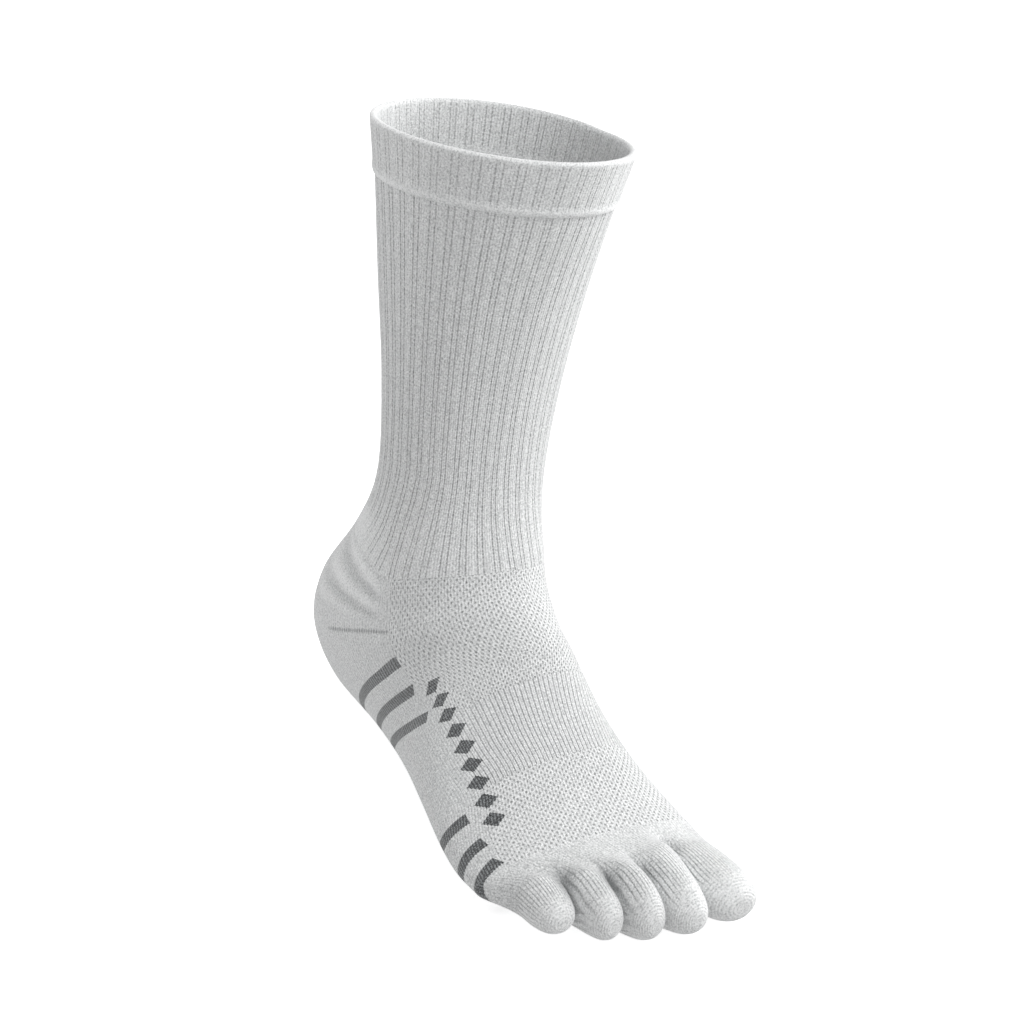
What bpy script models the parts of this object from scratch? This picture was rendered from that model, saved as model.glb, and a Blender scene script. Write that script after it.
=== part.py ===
"""Right-foot toe sock, kept in the form it has when worn.

Metres, +Z up, toes towards -Y, big toe towards +X. The origin is on the inner face of
the sole, under the middle of the heel. Every knit zone is one closed cloth wall. The
walls follow one shared surface, which is read from tables of cross-sections whose
lengths are shares of the named sizes.
"""

from math import asin, cos, pi, sin

import bmesh
import bpy
import numpy as np

# Sizes of the sock, all outside measures
FOOT_LENGTH = 0.245
BALL_WIDTH = 0.097
INSTEP_HEIGHT = 0.092
LEG_LENGTH = 0.158
CUFF_HEIGHT = 0.0215
CUFF_WIDTH = 0.098
CUFF_DEPTH = 0.103
TOE_HEIGHT = 0.030

# Cloth
KNIT_WALL = 0.0020
CUFF_WALL = 0.0030
CUFF_PROUD = 0.0007
RIB_COUNT = 36
RIB_DEPTH = 0.0006
GAP = 0.0003
# Share of the cuff's wall by which its rims are rounded in
RIM_ROUNDING = 0.25
# A rib's narrow furrow: where its edges and its floor lie, as shares of the rib
FURROW_SHARES = (0.0, 0.08, 0.20, 0.28)

# Where the middle of the heel lies, as a share of the foot's length from the heel's back
HEEL_CENTRE = 0.13

# Cross-sections of the leg from the cuff down. Each is a closed outline through four
# points: front, lateral, back and medial. front_y, side_y and back_y are shares of
# CUFF_DEPTH from the heel's back, the z columns shares of the leg below the cuff, from
# the ankle line up, and the x columns shares of CUFF_WIDTH. front_n and back_n are the
# outline's exponents: 2 is an ellipse, more is squarer.
COLUMNS = (
    "front_y", "side_y", "back_y",
    "front_z", "lateral_z", "medial_z", "back_z",
    "front_x", "lateral_x", "medial_x", "back_x",
    "front_n", "back_n",
)
LEG_ROWS = {
    "cuff_top": (1.090, 0.550, 0.095, 1.020, 1.006, 0.990, 0.994, 0.062, -0.448, 0.556, 0.045, 2.0, 2.0),
    "cuff_low": (1.050, 0.568, 0.142, 1.020, 1.006, 0.990, 0.994, 0.048, -0.415, 0.510, 0.040, 2.0, 2.0),
    "calf": (0.980, 0.604, 0.204, 0.738, 0.720, 0.722, 0.714, 0.030, -0.366, 0.452, 0.035, 2.0, 2.0),
    "shin": (0.952, 0.640, 0.280, 0.428, 0.416, 0.424, 0.420, 0.022, -0.323, 0.391, 0.035, 2.0, 1.9),
    "above_ankle": (0.985, 0.676, 0.325, 0.178, 0.138, 0.160, 0.155, 0.024, -0.306, 0.344, 0.030, 2.1, 1.9),
}

# Cross-sections of the foot from the ankle line to the toe box. y columns are shares of
# FOOT_LENGTH from the heel's back, z columns shares of INSTEP_HEIGHT from the floor and
# x columns shares of BALL_WIDTH. The sections of the heel are bent at their side
# points, so that they fan out from the ankle to the sole.
FOOT_ROWS = {
    "ankle": (0.455, 0.321, 0.085, 1.000, 0.845, 0.918, 0.875, 0.035, -0.330, 0.331, 0.000, 2.1, 2.0),
    "heel_back": (0.475, 0.337, 0.005, 0.922, 0.700, 0.745, 0.525, 0.040, -0.339, 0.332, -0.005, 2.1, 2.2),
    "gore": (0.499, 0.355, -0.004, 0.870, 0.582, 0.602, 0.255, 0.041, -0.349, 0.338, 0.000, 2.1, 2.2),
    "heel_under": (0.525, 0.391, 0.063, 0.816, 0.470, 0.478, 0.046, 0.051, -0.325, 0.340, 0.025, 2.1, 2.1),
    "heel_end": (0.553, 0.437, 0.240, 0.766, 0.384, 0.390, 0.003, 0.067, -0.345, 0.344, 0.030, 2.1, 2.1),
    "arch_back": (0.586, 0.502, 0.422, 0.691, 0.301, 0.333, 0.012, 0.085, -0.412, 0.343, 0.000, 2.0, 2.2),
    "arch_middle": (0.636, 0.581, 0.541, 0.578, 0.219, 0.265, 0.012, 0.093, -0.471, 0.353, -0.025, 2.0, 2.3),
    "arch_front": (0.690, 0.653, 0.642, 0.478, 0.155, 0.209, 0.010, 0.100, -0.523, 0.378, -0.035, 2.0, 2.3),
    "ball": (0.748, 0.722, 0.722, 0.368, 0.115, 0.174, 0.000, 0.092, -0.553, 0.418, -0.035, 2.1, 2.4),
    "box": (0.812, 0.785, 0.785, 0.290, 0.110, 0.146, 0.000, 0.077, -0.562, 0.442, -0.035, 2.2, 2.4),
}

# Border between the mesh side and the plain side of the foot, as a share of the way
# round from the front line to the side line
KNIT_BORDER = {
    "ankle": 0.96, "heel_back": 0.96, "gore": 0.96, "heel_under": 0.94, "heel_end": 0.81,
    "arch_back": 0.72, "arch_middle": 0.64, "arch_front": 0.57, "ball": 0.62, "box": 0.65,
}

# Lines between the toes, from the lateral edge to the medial edge: where each starts
# (root_x and root_y) and its x at the front of the longest toe, as shares of
# BALL_WIDTH and FOOT_LENGTH
TOE_LINES = (
    {"root_x": -0.466, "root_y": 0.837, "front_x": -0.472},
    {"root_x": -0.300, "root_y": 0.861, "front_x": -0.305},
    {"root_x": -0.166, "root_y": 0.899, "front_x": -0.153},
    {"root_x": -0.028, "root_y": 0.910, "front_x": 0.004},
    {"root_x": 0.176, "root_y": 0.860, "front_x": 0.182},
    {"root_x": 0.436, "root_y": 0.872, "front_x": 0.464},
)
# Each toe's root and tip: heights are shares of TOE_HEIGHT, tip_y of FOOT_LENGTH
TOES = {
    "little_toe": {"top": 0.67, "bottom": 0.035, "tip_y": 0.912, "tip_z": 0.325, "tip_half": 0.225},
    "fourth_toe": {"top": 0.80, "bottom": 0.030, "tip_y": 0.953, "tip_z": 0.355, "tip_half": 0.290},
    "third_toe": {"top": 0.90, "bottom": 0.015, "tip_y": 0.976, "tip_z": 0.375, "tip_half": 0.300},
    "second_toe": {"top": 0.93, "bottom": 0.010, "tip_y": 0.991, "tip_z": 0.385, "tip_half": 0.315},
    "big_toe": {"top": 0.75, "bottom": 0.005, "tip_y": 0.981, "tip_z": 0.362, "tip_half": 0.350},
}
# How deep the valleys between the toes are at the roots, as a share of the toes' height
VALLEY_DEPTH = 0.19
# The outermost lines have no valley: their lower and upper heights meet halfway
EDGE_DEPTH = 0.5
# Share of a toe's length by which its section is fully round
ROUNDED_BY = 0.6
TIP_BLUNTNESS = 3.0
# Exponent by which a toe bends down towards its tip: 1 is straight
TOE_ARCHING = 1.7

# Mesh density
CUFF_COLUMNS = 72
CUFF_STEPS = 4
LEG_STEPS_PER_ROW = 1
SIDE_COLUMNS = 4
UNDER_COLUMNS = 16
INSTEP_COLUMNS = 14
STEPS_PER_ROW = 2
TOE_QUARTER = 4
TOE_WALL_STEPS = 2
TOE_SHARES = (0.0, 0.25, 0.48, 0.68, 0.84, 0.945, 0.99)
BOX_STEPS = 4
# Step by which the surface's directions are measured, in rows and in quarter turns
FRAME_STEP = 0.02

# Yarn colours, linear
WHITE_YARN = (0.80, 0.80, 0.79, 1.0)
YARN_ROUGHNESS = 0.9


def clear_scene():
    """Removes every object of the scene."""
    for item in list(bpy.data.objects):
        bpy.data.objects.remove(item, do_unlink=True)


def foot_y(share):
    """Y of a share of the foot's length, measured from the heel's back."""
    return (HEEL_CENTRE - share) * FOOT_LENGTH


def section_rows():
    """All cross-sections in metres, from the cuff's top to the toe box.

    Returns:
        An array with one row per section, in the order of COLUMNS.
    """
    heel_back = foot_y(0.0)
    leg_tube = LEG_LENGTH - CUFF_HEIGHT
    rows = []
    for name, shares in LEG_ROWS.items():
        lift = CUFF_HEIGHT if name == "cuff_top" else 0.0
        ys = [heel_back - share * CUFF_DEPTH for share in shares[0:3]]
        zs = [INSTEP_HEIGHT - KNIT_WALL + share * leg_tube + lift for share in shares[3:7]]
        xs = [share * CUFF_WIDTH for share in shares[7:11]]
        rows.append(ys + zs + xs + list(shares[11:13]))
    for shares in FOOT_ROWS.values():
        ys = [foot_y(share) for share in shares[0:3]]
        zs = [share * INSTEP_HEIGHT - KNIT_WALL for share in shares[3:7]]
        xs = [share * BALL_WIDTH for share in shares[7:11]]
        rows.append(ys + zs + xs + list(shares[11:13]))
    return np.array(rows)


SECTIONS = section_rows()
ROW_NAMES = list(LEG_ROWS) + list(FOOT_ROWS)
ROW = {name: index for index, name in enumerate(ROW_NAMES)}


def blend_rows(table, place):
    """Reads a table between its rows along a smooth curve (Catmull-Rom).

    Args:
        table: Array with one row per section.
        place: Row position, such as 4.5 for halfway from row 4 to row 5.

    Returns:
        The blended row.
    """
    last = len(table) - 1
    start = int(min(max(place, 0), last - 1e-9))
    t = place - start
    row0, row1 = table[start], table[start + 1]
    before = table[start - 1] if start > 0 else 2 * row0 - row1
    after = table[start + 2] if start + 2 <= last else 2 * row1 - row0
    return 0.5 * (
        2 * row0
        + (row1 - before) * t
        + (2 * before - 5 * row0 + 4 * row1 - after) * t * t
        + (3 * row0 - before - 3 * row1 + after) * t ** 3
    )


def outline_point(row, turn):
    """Point of one cross-section.

    Args:
        row: The section, in the order of COLUMNS.
        turn: Way round in quarters: 0 front, 1 lateral, 2 back, 3 medial, 4 front.

    Returns:
        The point as an array of x, y and z.
    """
    part = dict(zip(COLUMNS, row))
    turn = turn % 4
    side = "lateral" if turn <= 2 else "medial"
    end = "back" if 1 < turn < 3 else "front"
    from_end = abs(turn - 2) if end == "back" else min(turn, 4 - turn)
    angle = from_end * pi / 2
    power = 2 / part[end + "_n"]
    out = max(sin(angle), 0.0) ** power
    along = max(cos(angle), 0.0) ** power
    side_z = part[side + "_z"]
    return np.array((
        part[end + "_x"] + (part[side + "_x"] - part[end + "_x"]) * out,
        part["side_y"] + (part[end + "_y"] - part["side_y"]) * along,
        side_z + (part[end + "_z"] - side_z) * along,
    ))


def surface(place, turn):
    """Point of the sock's outside at a row position and a way round."""
    return outline_point(blend_rows(SECTIONS, place), turn)


def unit(vector):
    """The vector at length 1."""
    return vector / max(np.linalg.norm(vector), 1e-12)


def surface_frame(place, turn):
    """Directions at a point of the sock's outside.

    Returns:
        Unit vectors towards the toes and outwards.
    """
    low, high = max(place - FRAME_STEP, 0.0), min(place + FRAME_STEP, len(SECTIONS) - 1)
    down = unit(surface(high, turn) - surface(low, turn))
    around = unit(surface(place, turn + FRAME_STEP) - surface(place, turn - FRAME_STEP))
    return down, unit(np.cross(around, down))


def add_cloth(name, outer, inner, closed):
    """Makes one cloth wall from its outer and inner grids of points.

    Args:
        name: Name of the object.
        outer: Rows of outside points.
        inner: Rows of inside points, as many as outside.
        closed: Whether each row runs all the way round.

    Returns:
        The new object.
    """
    mesh = bmesh.new()
    grids = [[[mesh.verts.new(point) for point in row] for row in grid] for grid in (outer, inner)]
    count = len(outer[0])
    spans = count if closed else count - 1
    for grid in grids:
        for upper, lower in zip(grid, grid[1:]):
            for k in range(spans):
                j = (k + 1) % count
                mesh.faces.new((upper[k], upper[j], lower[j], lower[k]))
    for end in (0, -1):
        for k in range(spans):
            j = (k + 1) % count
            mesh.faces.new((grids[0][end][k], grids[0][end][j], grids[1][end][j], grids[1][end][k]))
    if not closed:
        for side in (0, -1):
            for i in range(len(outer) - 1):
                mesh.faces.new((
                    grids[0][i][side], grids[0][i + 1][side], grids[1][i + 1][side], grids[1][i][side],
                ))
    return finish_object(name, mesh)


def finish_object(name, mesh):
    """Turns a bmesh into a smooth-shaded object in white yarn."""
    bmesh.ops.remove_doubles(mesh, verts=mesh.verts, dist=1e-7)
    bmesh.ops.recalc_face_normals(mesh, faces=mesh.faces)
    data = bpy.data.meshes.new(name)
    mesh.to_mesh(data)
    mesh.free()
    data.shade_smooth()
    data.set_sharp_from_angle(angle=pi / 4)
    data.materials.append(yarn_material(name))
    item = bpy.data.objects.new(name, data)
    bpy.context.collection.objects.link(item)
    return item


def yarn_material(name):
    """A matt white knit material for one sub-part."""
    material = bpy.data.materials.new(name + "_yarn")
    material.use_nodes = True
    shader = material.node_tree.nodes["Principled BSDF"]
    shader.inputs["Base Color"].default_value = WHITE_YARN
    shader.inputs["Roughness"].default_value = YARN_ROUGHNESS
    shader.inputs["Metallic"].default_value = 0.0
    return material


def pulled_in(grid, closed):
    """Moves a grid's border points inwards by half a gap, along the cloth.

    Args:
        grid: Rows of points.
        closed: Whether each row runs all the way round.

    Returns:
        The grid with its border moved.
    """
    grid = np.array(grid)
    moved = grid.copy()
    for edge, inside in ((0, 1), (-1, -2)):
        way = grid[inside] - grid[edge]
        moved[edge] += way / np.linalg.norm(way, axis=1, keepdims=True) * GAP / 2
    if not closed:
        for edge, inside in ((0, 1), (-1, -2)):
            way = grid[:, inside] - grid[:, edge]
            moved[:, edge] += way / np.linalg.norm(way, axis=1, keepdims=True) * GAP / 2
    return moved


def zone_grids(first, last, turns_at, depth_at=None, steps_per_row=STEPS_PER_ROW, wall=KNIT_WALL, proud=0.0):
    """Outer and inner grids of one knit zone of the shared surface.

    Args:
        first: Row name where the zone starts.
        last: Row name where it ends.
        turns_at: Function that gives the ways round at a row position.
        depth_at: Function that gives the groove depth of each column, or None.
        steps_per_row: Number of mesh steps from one section to the next.
        wall: Thickness of the cloth.
        proud: How far the outside stands off the shared surface.

    Returns:
        The outer and the inner grid.
    """
    outer, inner = [], []
    steps = (ROW[last] - ROW[first]) * steps_per_row
    for place in np.linspace(ROW[first], ROW[last], steps + 1):
        outer_row, inner_row = [], []
        for column, turn in enumerate(turns_at(place)):
            point = surface(place, turn)
            outwards = surface_frame(place, turn)[1]
            groove = depth_at(column) if depth_at else 0.0
            outer_row.append(point + outwards * (proud - groove))
            inner_row.append(point + outwards * (proud - wall))
        outer.append(outer_row)
        inner.append(inner_row)
    return outer, inner


def border_at(place):
    """Way round, in quarters, of the knit border at a row position of the foot."""
    table = np.array([[value] for value in KNIT_BORDER.values()])
    return float(blend_rows(table, place - ROW["ankle"])[0])


def make_cuff():
    """Doubled band round the top opening, with a rounded rim."""
    turns = [4 * k / CUFF_COLUMNS for k in range(CUFF_COLUMNS)]
    outer, inner = zone_grids(
        "cuff_top", "cuff_low", lambda place: turns, steps_per_row=CUFF_STEPS, wall=CUFF_WALL, proud=CUFF_PROUD
    )
    outer, inner = pulled_in(outer, True), pulled_in(inner, True)
    outer[0] += (inner[0] - outer[0]) * RIM_ROUNDING
    inner[0] += (outer[0] - inner[0]) * RIM_ROUNDING
    return add_cloth("cuff", outer, inner, True)


def make_leg():
    """Ribbed tube from the cuff to the ankle line."""
    depths = (0.0, RIB_DEPTH, RIB_DEPTH, 0.0)
    turns = [4 * (rib + share) / RIB_COUNT for rib in range(RIB_COUNT) for share in FURROW_SHARES]
    outer, inner = zone_grids(
        "cuff_low", "ankle", lambda place: turns, lambda column: depths[column % len(depths)],
        steps_per_row=LEG_STEPS_PER_ROW,
    )
    return add_cloth("leg", pulled_in(outer, True), pulled_in(inner, True), True)


def make_under_zone(name, first, last):
    """A zone that runs under the foot, from knit border to knit border."""
    def turns_at(place):
        """Ways round from the lateral border under the foot to the medial border."""
        lateral = np.linspace(border_at(place), 1, SIDE_COLUMNS + 1)
        under = np.linspace(1, 3, UNDER_COLUMNS + 1)
        return np.concatenate((lateral[:-1], under, 4 - lateral[-2::-1]))

    outer, inner = zone_grids(first, last, turns_at)
    return add_cloth(name, pulled_in(outer, False), pulled_in(inner, False), False)


def make_upper_zone(name, first, last):
    """A zone over the top of the foot, from knit border to knit border."""
    def turns_at(place):
        """Ways round from the medial border over the top to the lateral border."""
        border = border_at(place)
        return np.linspace(-border, border, INSTEP_COLUMNS + 1)

    outer, inner = zone_grids(first, last, turns_at)
    return add_cloth(name, pulled_in(outer, False), pulled_in(inner, False), False)


def smooth(t):
    """Smooth step from 0 to 1."""
    t = min(max(t, 0.0), 1.0)
    return t * t * (3 - 2 * t)


def valley_heights(line):
    """Heights of the lower and upper valley at the root of a toe line.

    Args:
        line: Index into TOE_LINES.

    Returns:
        The lower and the upper z. On the two outer lines they are the same.
    """
    shapes = list(TOES.values())
    beside = shapes[max(line - 1, 0):line + 1]
    top = sum(shape["top"] for shape in beside) / len(beside) * TOE_HEIGHT
    bottom = sum(shape["bottom"] for shape in beside) / len(beside) * TOE_HEIGHT
    depth = VALLEY_DEPTH if 0 < line < len(TOES) else EDGE_DEPTH
    return tuple(bottom + (top - bottom) * share - KNIT_WALL for share in (depth, 1 - depth))


class Toe:
    """One toe of the sock: a closed-ended tube from its root section to its tip."""

    def __init__(self, index, name):
        shape = TOES[name]
        self.name = name
        self.lines = (TOE_LINES[index], TOE_LINES[index + 1])
        self.valleys = (valley_heights(index), valley_heights(index + 1))
        self.top = shape["top"] * TOE_HEIGHT - KNIT_WALL
        self.bottom = shape["bottom"] * TOE_HEIGHT - KNIT_WALL
        self.tip_y = foot_y(shape["tip_y"])
        self.tip_z = shape["tip_z"] * TOE_HEIGHT - KNIT_WALL
        self.tip_half = shape["tip_half"] * TOE_HEIGHT

    def line_x(self, side, y):
        """X of the line on one side of the toe at a given y."""
        line = self.lines[side]
        root_y, front_y = foot_y(line["root_y"]), foot_y(1.0)
        share = (root_y - y) / (root_y - front_y)
        return (line["root_x"] + (line["front_x"] - line["root_x"]) * share) * BALL_WIDTH

    def section(self, share, inset=0.0):
        """One loop of the toe.

        Args:
            share: Way from the root (0) to the tip (1).
            inset: How far the loop lies inside the toe's full outline.

        Returns:
            The loop's points: over the top from the lateral to the medial side, then
            down the medial wall, back under the toe and up the lateral wall.
        """
        roots = [foot_y(line["root_y"]) for line in self.lines]
        middle_y = sum(roots) / 2
        reach = self.tip_y + inset - middle_y
        centre_y = middle_y + reach * share
        slant = (roots[1] - roots[0]) / 2 * (1 - share)
        closing = max(1 - share ** TIP_BLUNTNESS, 0.0) ** (1 / TIP_BLUNTNESS)
        left, right = self.line_x(0, centre_y - slant), self.line_x(1, centre_y + slant)
        centre_x = (left + right) / 2
        half_x = max((right - left) / 2 - inset, 0.0) * closing
        root_half = (self.top - self.bottom) / 2
        root_z = (self.top + self.bottom) / 2
        bend = share ** TOE_ARCHING
        centre_z = root_z + (self.tip_z - root_z) * bend
        full_z = root_half + (self.tip_half - root_half) * bend
        half_z = max(full_z - inset, 0.0) * closing
        keep = 1 - smooth(share / ROUNDED_BY)
        edges = [[(z - root_z) / root_half * keep for z in pair] for pair in self.valleys]
        loop = []
        for x, z in self.loop_shape(edges):
            across = x * half_x * 2 / (right - left)
            loop.append((centre_x + x * half_x, centre_y + slant * across, centre_z + z * half_z))
        return np.array(loop)

    def loop_shape(self, edges):
        """Unit loop of a toe section as pairs of x and z from -1 to 1.

        Args:
            edges: Lower and upper end of the straight wall on the lateral and on the
                medial side, from -1 to 1.

        Returns:
            The loop's pairs.
        """
        quarter = [k * pi / 2 / TOE_QUARTER for k in range(TOE_QUARTER + 1)]
        (lateral_low, lateral_high), (medial_low, medial_high) = edges
        over = [(-cos(a), lateral_high + (1 - lateral_high) * sin(a)) for a in quarter[:-1]]
        over += [(cos(a), medial_high + (1 - medial_high) * sin(a)) for a in reversed(quarter)]
        under = [(cos(a), medial_low - (1 + medial_low) * sin(a)) for a in quarter[:-1]]
        under += [(-cos(a), lateral_low - (1 + lateral_low) * sin(a)) for a in reversed(quarter)]
        shares = [(k + 1) / (TOE_WALL_STEPS + 1) for k in range(TOE_WALL_STEPS)]
        down = [(1.0, medial_high + (medial_low - medial_high) * share) for share in shares]
        up = [(-1.0, lateral_low + (lateral_high - lateral_low) * share) for share in shares]
        return over + down + under + up

    def arc_count(self):
        """Number of points over the top of the toe."""
        return 2 * TOE_QUARTER + 1


def turn_at_x(row, x, over):
    """Way round a section, in quarters, above or below a given x.

    Args:
        row: The section, in the order of COLUMNS.
        x: Where to read it.
        over: Whether to read the top instead of the bottom.

    Returns:
        The way round, from 0 to 4.
    """
    part = dict(zip(COLUMNS, row))
    end = "front" if over else "back"
    middle = part[end + "_x"]
    side = "lateral" if x < middle else "medial"
    share = min(max((x - middle) / (part[side + "_x"] - middle), 0.0), 1.0)
    from_end = asin(share ** (part[end + "_n"] / 2)) * 2 / pi
    if over:
        return from_end if side == "lateral" else (4 - from_end) % 4
    return 2 - from_end if side == "lateral" else 2 + from_end


def hermite(start, start_way, end, end_way, t):
    """Point of a smooth curve between two points with given directions."""
    reach = np.linalg.norm(end - start)
    return (
        (2 * t ** 3 - 3 * t ** 2 + 1) * start
        + (t ** 3 - 2 * t ** 2 + t) * reach * start_way
        + (3 * t ** 2 - 2 * t ** 3) * end
        + (t ** 3 - t ** 2) * reach * end_way
    )


def round_the_toes(toes, inset):
    """Points of the toes' roots over the top and back underneath, as one closed ring.

    Args:
        toes: The toes, from the little toe to the big toe.
        inset: How far the ring lies inside the toes' outlines.

    Returns:
        Pairs of whether a point is on top and the point.
    """
    over, under = [], []
    for toe in toes:
        root = toe.section(0.0, inset)
        count = toe.arc_count()
        under_end = 2 * count + TOE_WALL_STEPS
        for ring, arc in ((over, root[:count]), (under, root[count + TOE_WALL_STEPS:under_end][::-1])):
            arc = list(arc)
            if ring:
                arc[0] = (ring.pop() + arc[0]) / 2
                arc[0][1] = foot_y(toe.lines[0]["root_y"])
            ring.extend(arc)
    return [(True, point) for point in over] + [(False, point) for point in under[-2:0:-1]]


def make_toe_box(toes):
    """Plain band from the ball of the foot to the roots of the toes.

    Args:
        toes: The toes, from the little toe to the big toe.

    Returns:
        The new object.
    """
    place = ROW["box"]
    row = SECTIONS[place]
    edges = [row[COLUMNS.index(name)] for name in ("lateral_x", "medial_x")]
    lateral = TOE_LINES[0]["root_x"] * BALL_WIDTH
    medial = TOE_LINES[-1]["root_x"] * BALL_WIDTH
    forwards = np.array((0.0, -1.0, 0.0))
    columns, starts_inside = [], []
    for over, root in round_the_toes(toes, 0.0):
        share = (root[0] - lateral) / (medial - lateral)
        turn = turn_at_x(row, edges[0] + share * (edges[1] - edges[0]), over)
        start = surface(place, turn)
        way, outwards = surface_frame(place, turn)
        starts_inside.append(start - outwards * KNIT_WALL)
        columns.append([
            hermite(start, way, root, forwards, step / BOX_STEPS) for step in range(BOX_STEPS + 1)
        ])
    outer = np.array(columns).transpose(1, 0, 2)
    around = np.roll(outer, -1, axis=1) - np.roll(outer, 1, axis=1)
    down = np.gradient(outer, axis=0)
    outwards = np.cross(down, around)
    outwards /= np.linalg.norm(outwards, axis=2, keepdims=True)
    inner = outer - outwards * KNIT_WALL
    inner[0] = starts_inside
    inner[-1] = [point for _, point in round_the_toes(toes, KNIT_WALL)]
    return add_cloth("toe_box", pulled_in(outer, True), pulled_in(inner, True), True)


def make_toe(toe):
    """One toe with its rounded end."""
    root_gap = np.array((0.0, -GAP / 2, 0.0))
    outer = [toe.section(share, GAP / 2) for share in TOE_SHARES]
    inner = [toe.section(share, GAP / 2 + KNIT_WALL) for share in TOE_SHARES]
    outer[0] = outer[0] + root_gap
    inner[0] = inner[0] + root_gap
    mesh = bmesh.new()
    rings = []
    for grid in (outer, inner):
        loops = [[mesh.verts.new(point) for point in loop] for loop in grid]
        for upper, lower in zip(loops, loops[1:]):
            for k in range(len(upper)):
                j = (k + 1) % len(upper)
                mesh.faces.new((upper[k], upper[j], lower[j], lower[k]))
        tip = mesh.verts.new(toe.section(1.0, GAP / 2 if grid is outer else GAP / 2 + KNIT_WALL)[0])
        for k in range(len(loops[-1])):
            mesh.faces.new((loops[-1][k], loops[-1][(k + 1) % len(loops[-1])], tip))
        rings.append(loops[0])
    for k in range(len(rings[0])):
        j = (k + 1) % len(rings[0])
        mesh.faces.new((rings[0][k], rings[0][j], rings[1][j], rings[1][k]))
    return finish_object(toe.name, mesh)


def main():
    """Builds the sock's zones in order."""
    clear_scene()
    make_cuff()
    make_leg()
    make_under_zone("heel", "ankle", "heel_end")
    make_upper_zone("instep_mesh", "ankle", "arch_back")
    make_upper_zone("arch_band", "arch_back", "arch_front")
    make_upper_zone("forefoot_mesh", "arch_front", "box")
    make_under_zone("sole", "heel_end", "box")
    toes = [Toe(index, name) for index, name in enumerate(TOES)]
    make_toe_box(toes)
    for toe in toes:
        make_toe(toe)


main()
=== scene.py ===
"""Visual model of a toe sock for the right foot, in the form it has when worn.

Metres, +Z up, toes towards -Y and big toe towards +X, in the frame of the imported
solids. Every knit zone is a cloth wall of its own. It follows one shared surface, has
the relief of its own knitting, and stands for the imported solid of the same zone.
"""

import logging
from dataclasses import KW_ONLY, dataclass, field
from enum import Enum
from functools import partial
from math import asin, cos, pi, radians, sin

import bpy
import numpy as np
from mathutils import Matrix, Vector

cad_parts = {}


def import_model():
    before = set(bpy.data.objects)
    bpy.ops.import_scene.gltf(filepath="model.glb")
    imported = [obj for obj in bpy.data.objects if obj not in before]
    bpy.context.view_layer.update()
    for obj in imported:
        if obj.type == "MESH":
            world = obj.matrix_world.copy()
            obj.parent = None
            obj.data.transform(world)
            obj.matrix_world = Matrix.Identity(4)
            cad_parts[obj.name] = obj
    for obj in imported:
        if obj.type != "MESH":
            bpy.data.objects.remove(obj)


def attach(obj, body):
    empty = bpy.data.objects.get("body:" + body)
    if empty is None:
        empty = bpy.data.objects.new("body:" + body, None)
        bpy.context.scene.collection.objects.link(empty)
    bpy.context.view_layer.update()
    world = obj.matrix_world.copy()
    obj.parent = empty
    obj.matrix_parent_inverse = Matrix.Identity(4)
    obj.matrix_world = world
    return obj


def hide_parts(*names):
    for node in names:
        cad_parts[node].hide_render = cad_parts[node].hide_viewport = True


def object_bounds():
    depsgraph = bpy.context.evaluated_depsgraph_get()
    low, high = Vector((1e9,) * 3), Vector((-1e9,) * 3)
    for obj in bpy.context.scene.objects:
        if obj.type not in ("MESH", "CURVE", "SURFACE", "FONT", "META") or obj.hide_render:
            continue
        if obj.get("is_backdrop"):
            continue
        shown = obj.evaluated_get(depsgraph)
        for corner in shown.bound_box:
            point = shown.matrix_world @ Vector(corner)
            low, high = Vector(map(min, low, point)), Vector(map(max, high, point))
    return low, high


Array = np.ndarray
MM = 0.001
# Farther away than any point of the sock, in metres
FAR = 99.0
# Broad ribs: wales from one pair of furrows to the next, and between the two of a pair
WALES_PER_RIB = 6
FURROW_APART = 2.0
# Courses from one row of eyelets to the same row again
EYELET_COURSES = 3

# Settings that many nodes share
MULTIPLY, MULTIPLY_ADD, SUBTRACT, PINGPONG, COSINE, MINIMUM, MAXIMUM, COMPARE = (
    {"operation": name}
    for name in (
        "MULTIPLY", "MULTIPLY_ADD", "SUBTRACT", "PINGPONG", "COSINE", "MINIMUM", "MAXIMUM", "COMPARE",
    )
)
SMOOTH_STEP = {"interpolation_type": "SMOOTHSTEP"}
COLOURS = {"data_type": "RGBA"}

# Cross-sections of the leg from the cuff down. Each is a closed outline through four
# points: front, lateral, back and medial. front_y, side_y and back_y are shares of the
# cuff's depth from the heel's back, the z columns shares of the leg below the cuff, from
# the ankle line up, and the x columns shares of the cuff's width. front_n and back_n
# are the outline's exponents: 2 is an ellipse, more is squarer.
COLUMNS = (
    "front_y", "side_y", "back_y",
    "front_z", "lateral_z", "medial_z", "back_z",
    "front_x", "lateral_x", "medial_x", "back_x",
    "front_n", "back_n",
)
LEG_ROWS = {
    "cuff_top": (1.090, 0.550, 0.095, 1.020, 1.006, 0.990, 0.994, 0.062, -0.448, 0.556, 0.045, 2.0, 2.0),
    "cuff_low": (1.050, 0.568, 0.142, 1.020, 1.006, 0.990, 0.994, 0.048, -0.415, 0.510, 0.040, 2.0, 2.0),
    "calf": (0.980, 0.604, 0.204, 0.738, 0.720, 0.722, 0.714, 0.030, -0.366, 0.452, 0.035, 2.0, 2.0),
    "shin": (0.952, 0.640, 0.280, 0.428, 0.416, 0.424, 0.420, 0.022, -0.323, 0.391, 0.035, 2.0, 1.9),
    "above_ankle": (0.985, 0.676, 0.325, 0.178, 0.138, 0.160, 0.155, 0.024, -0.306, 0.344, 0.030, 2.1, 1.9),
}

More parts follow.
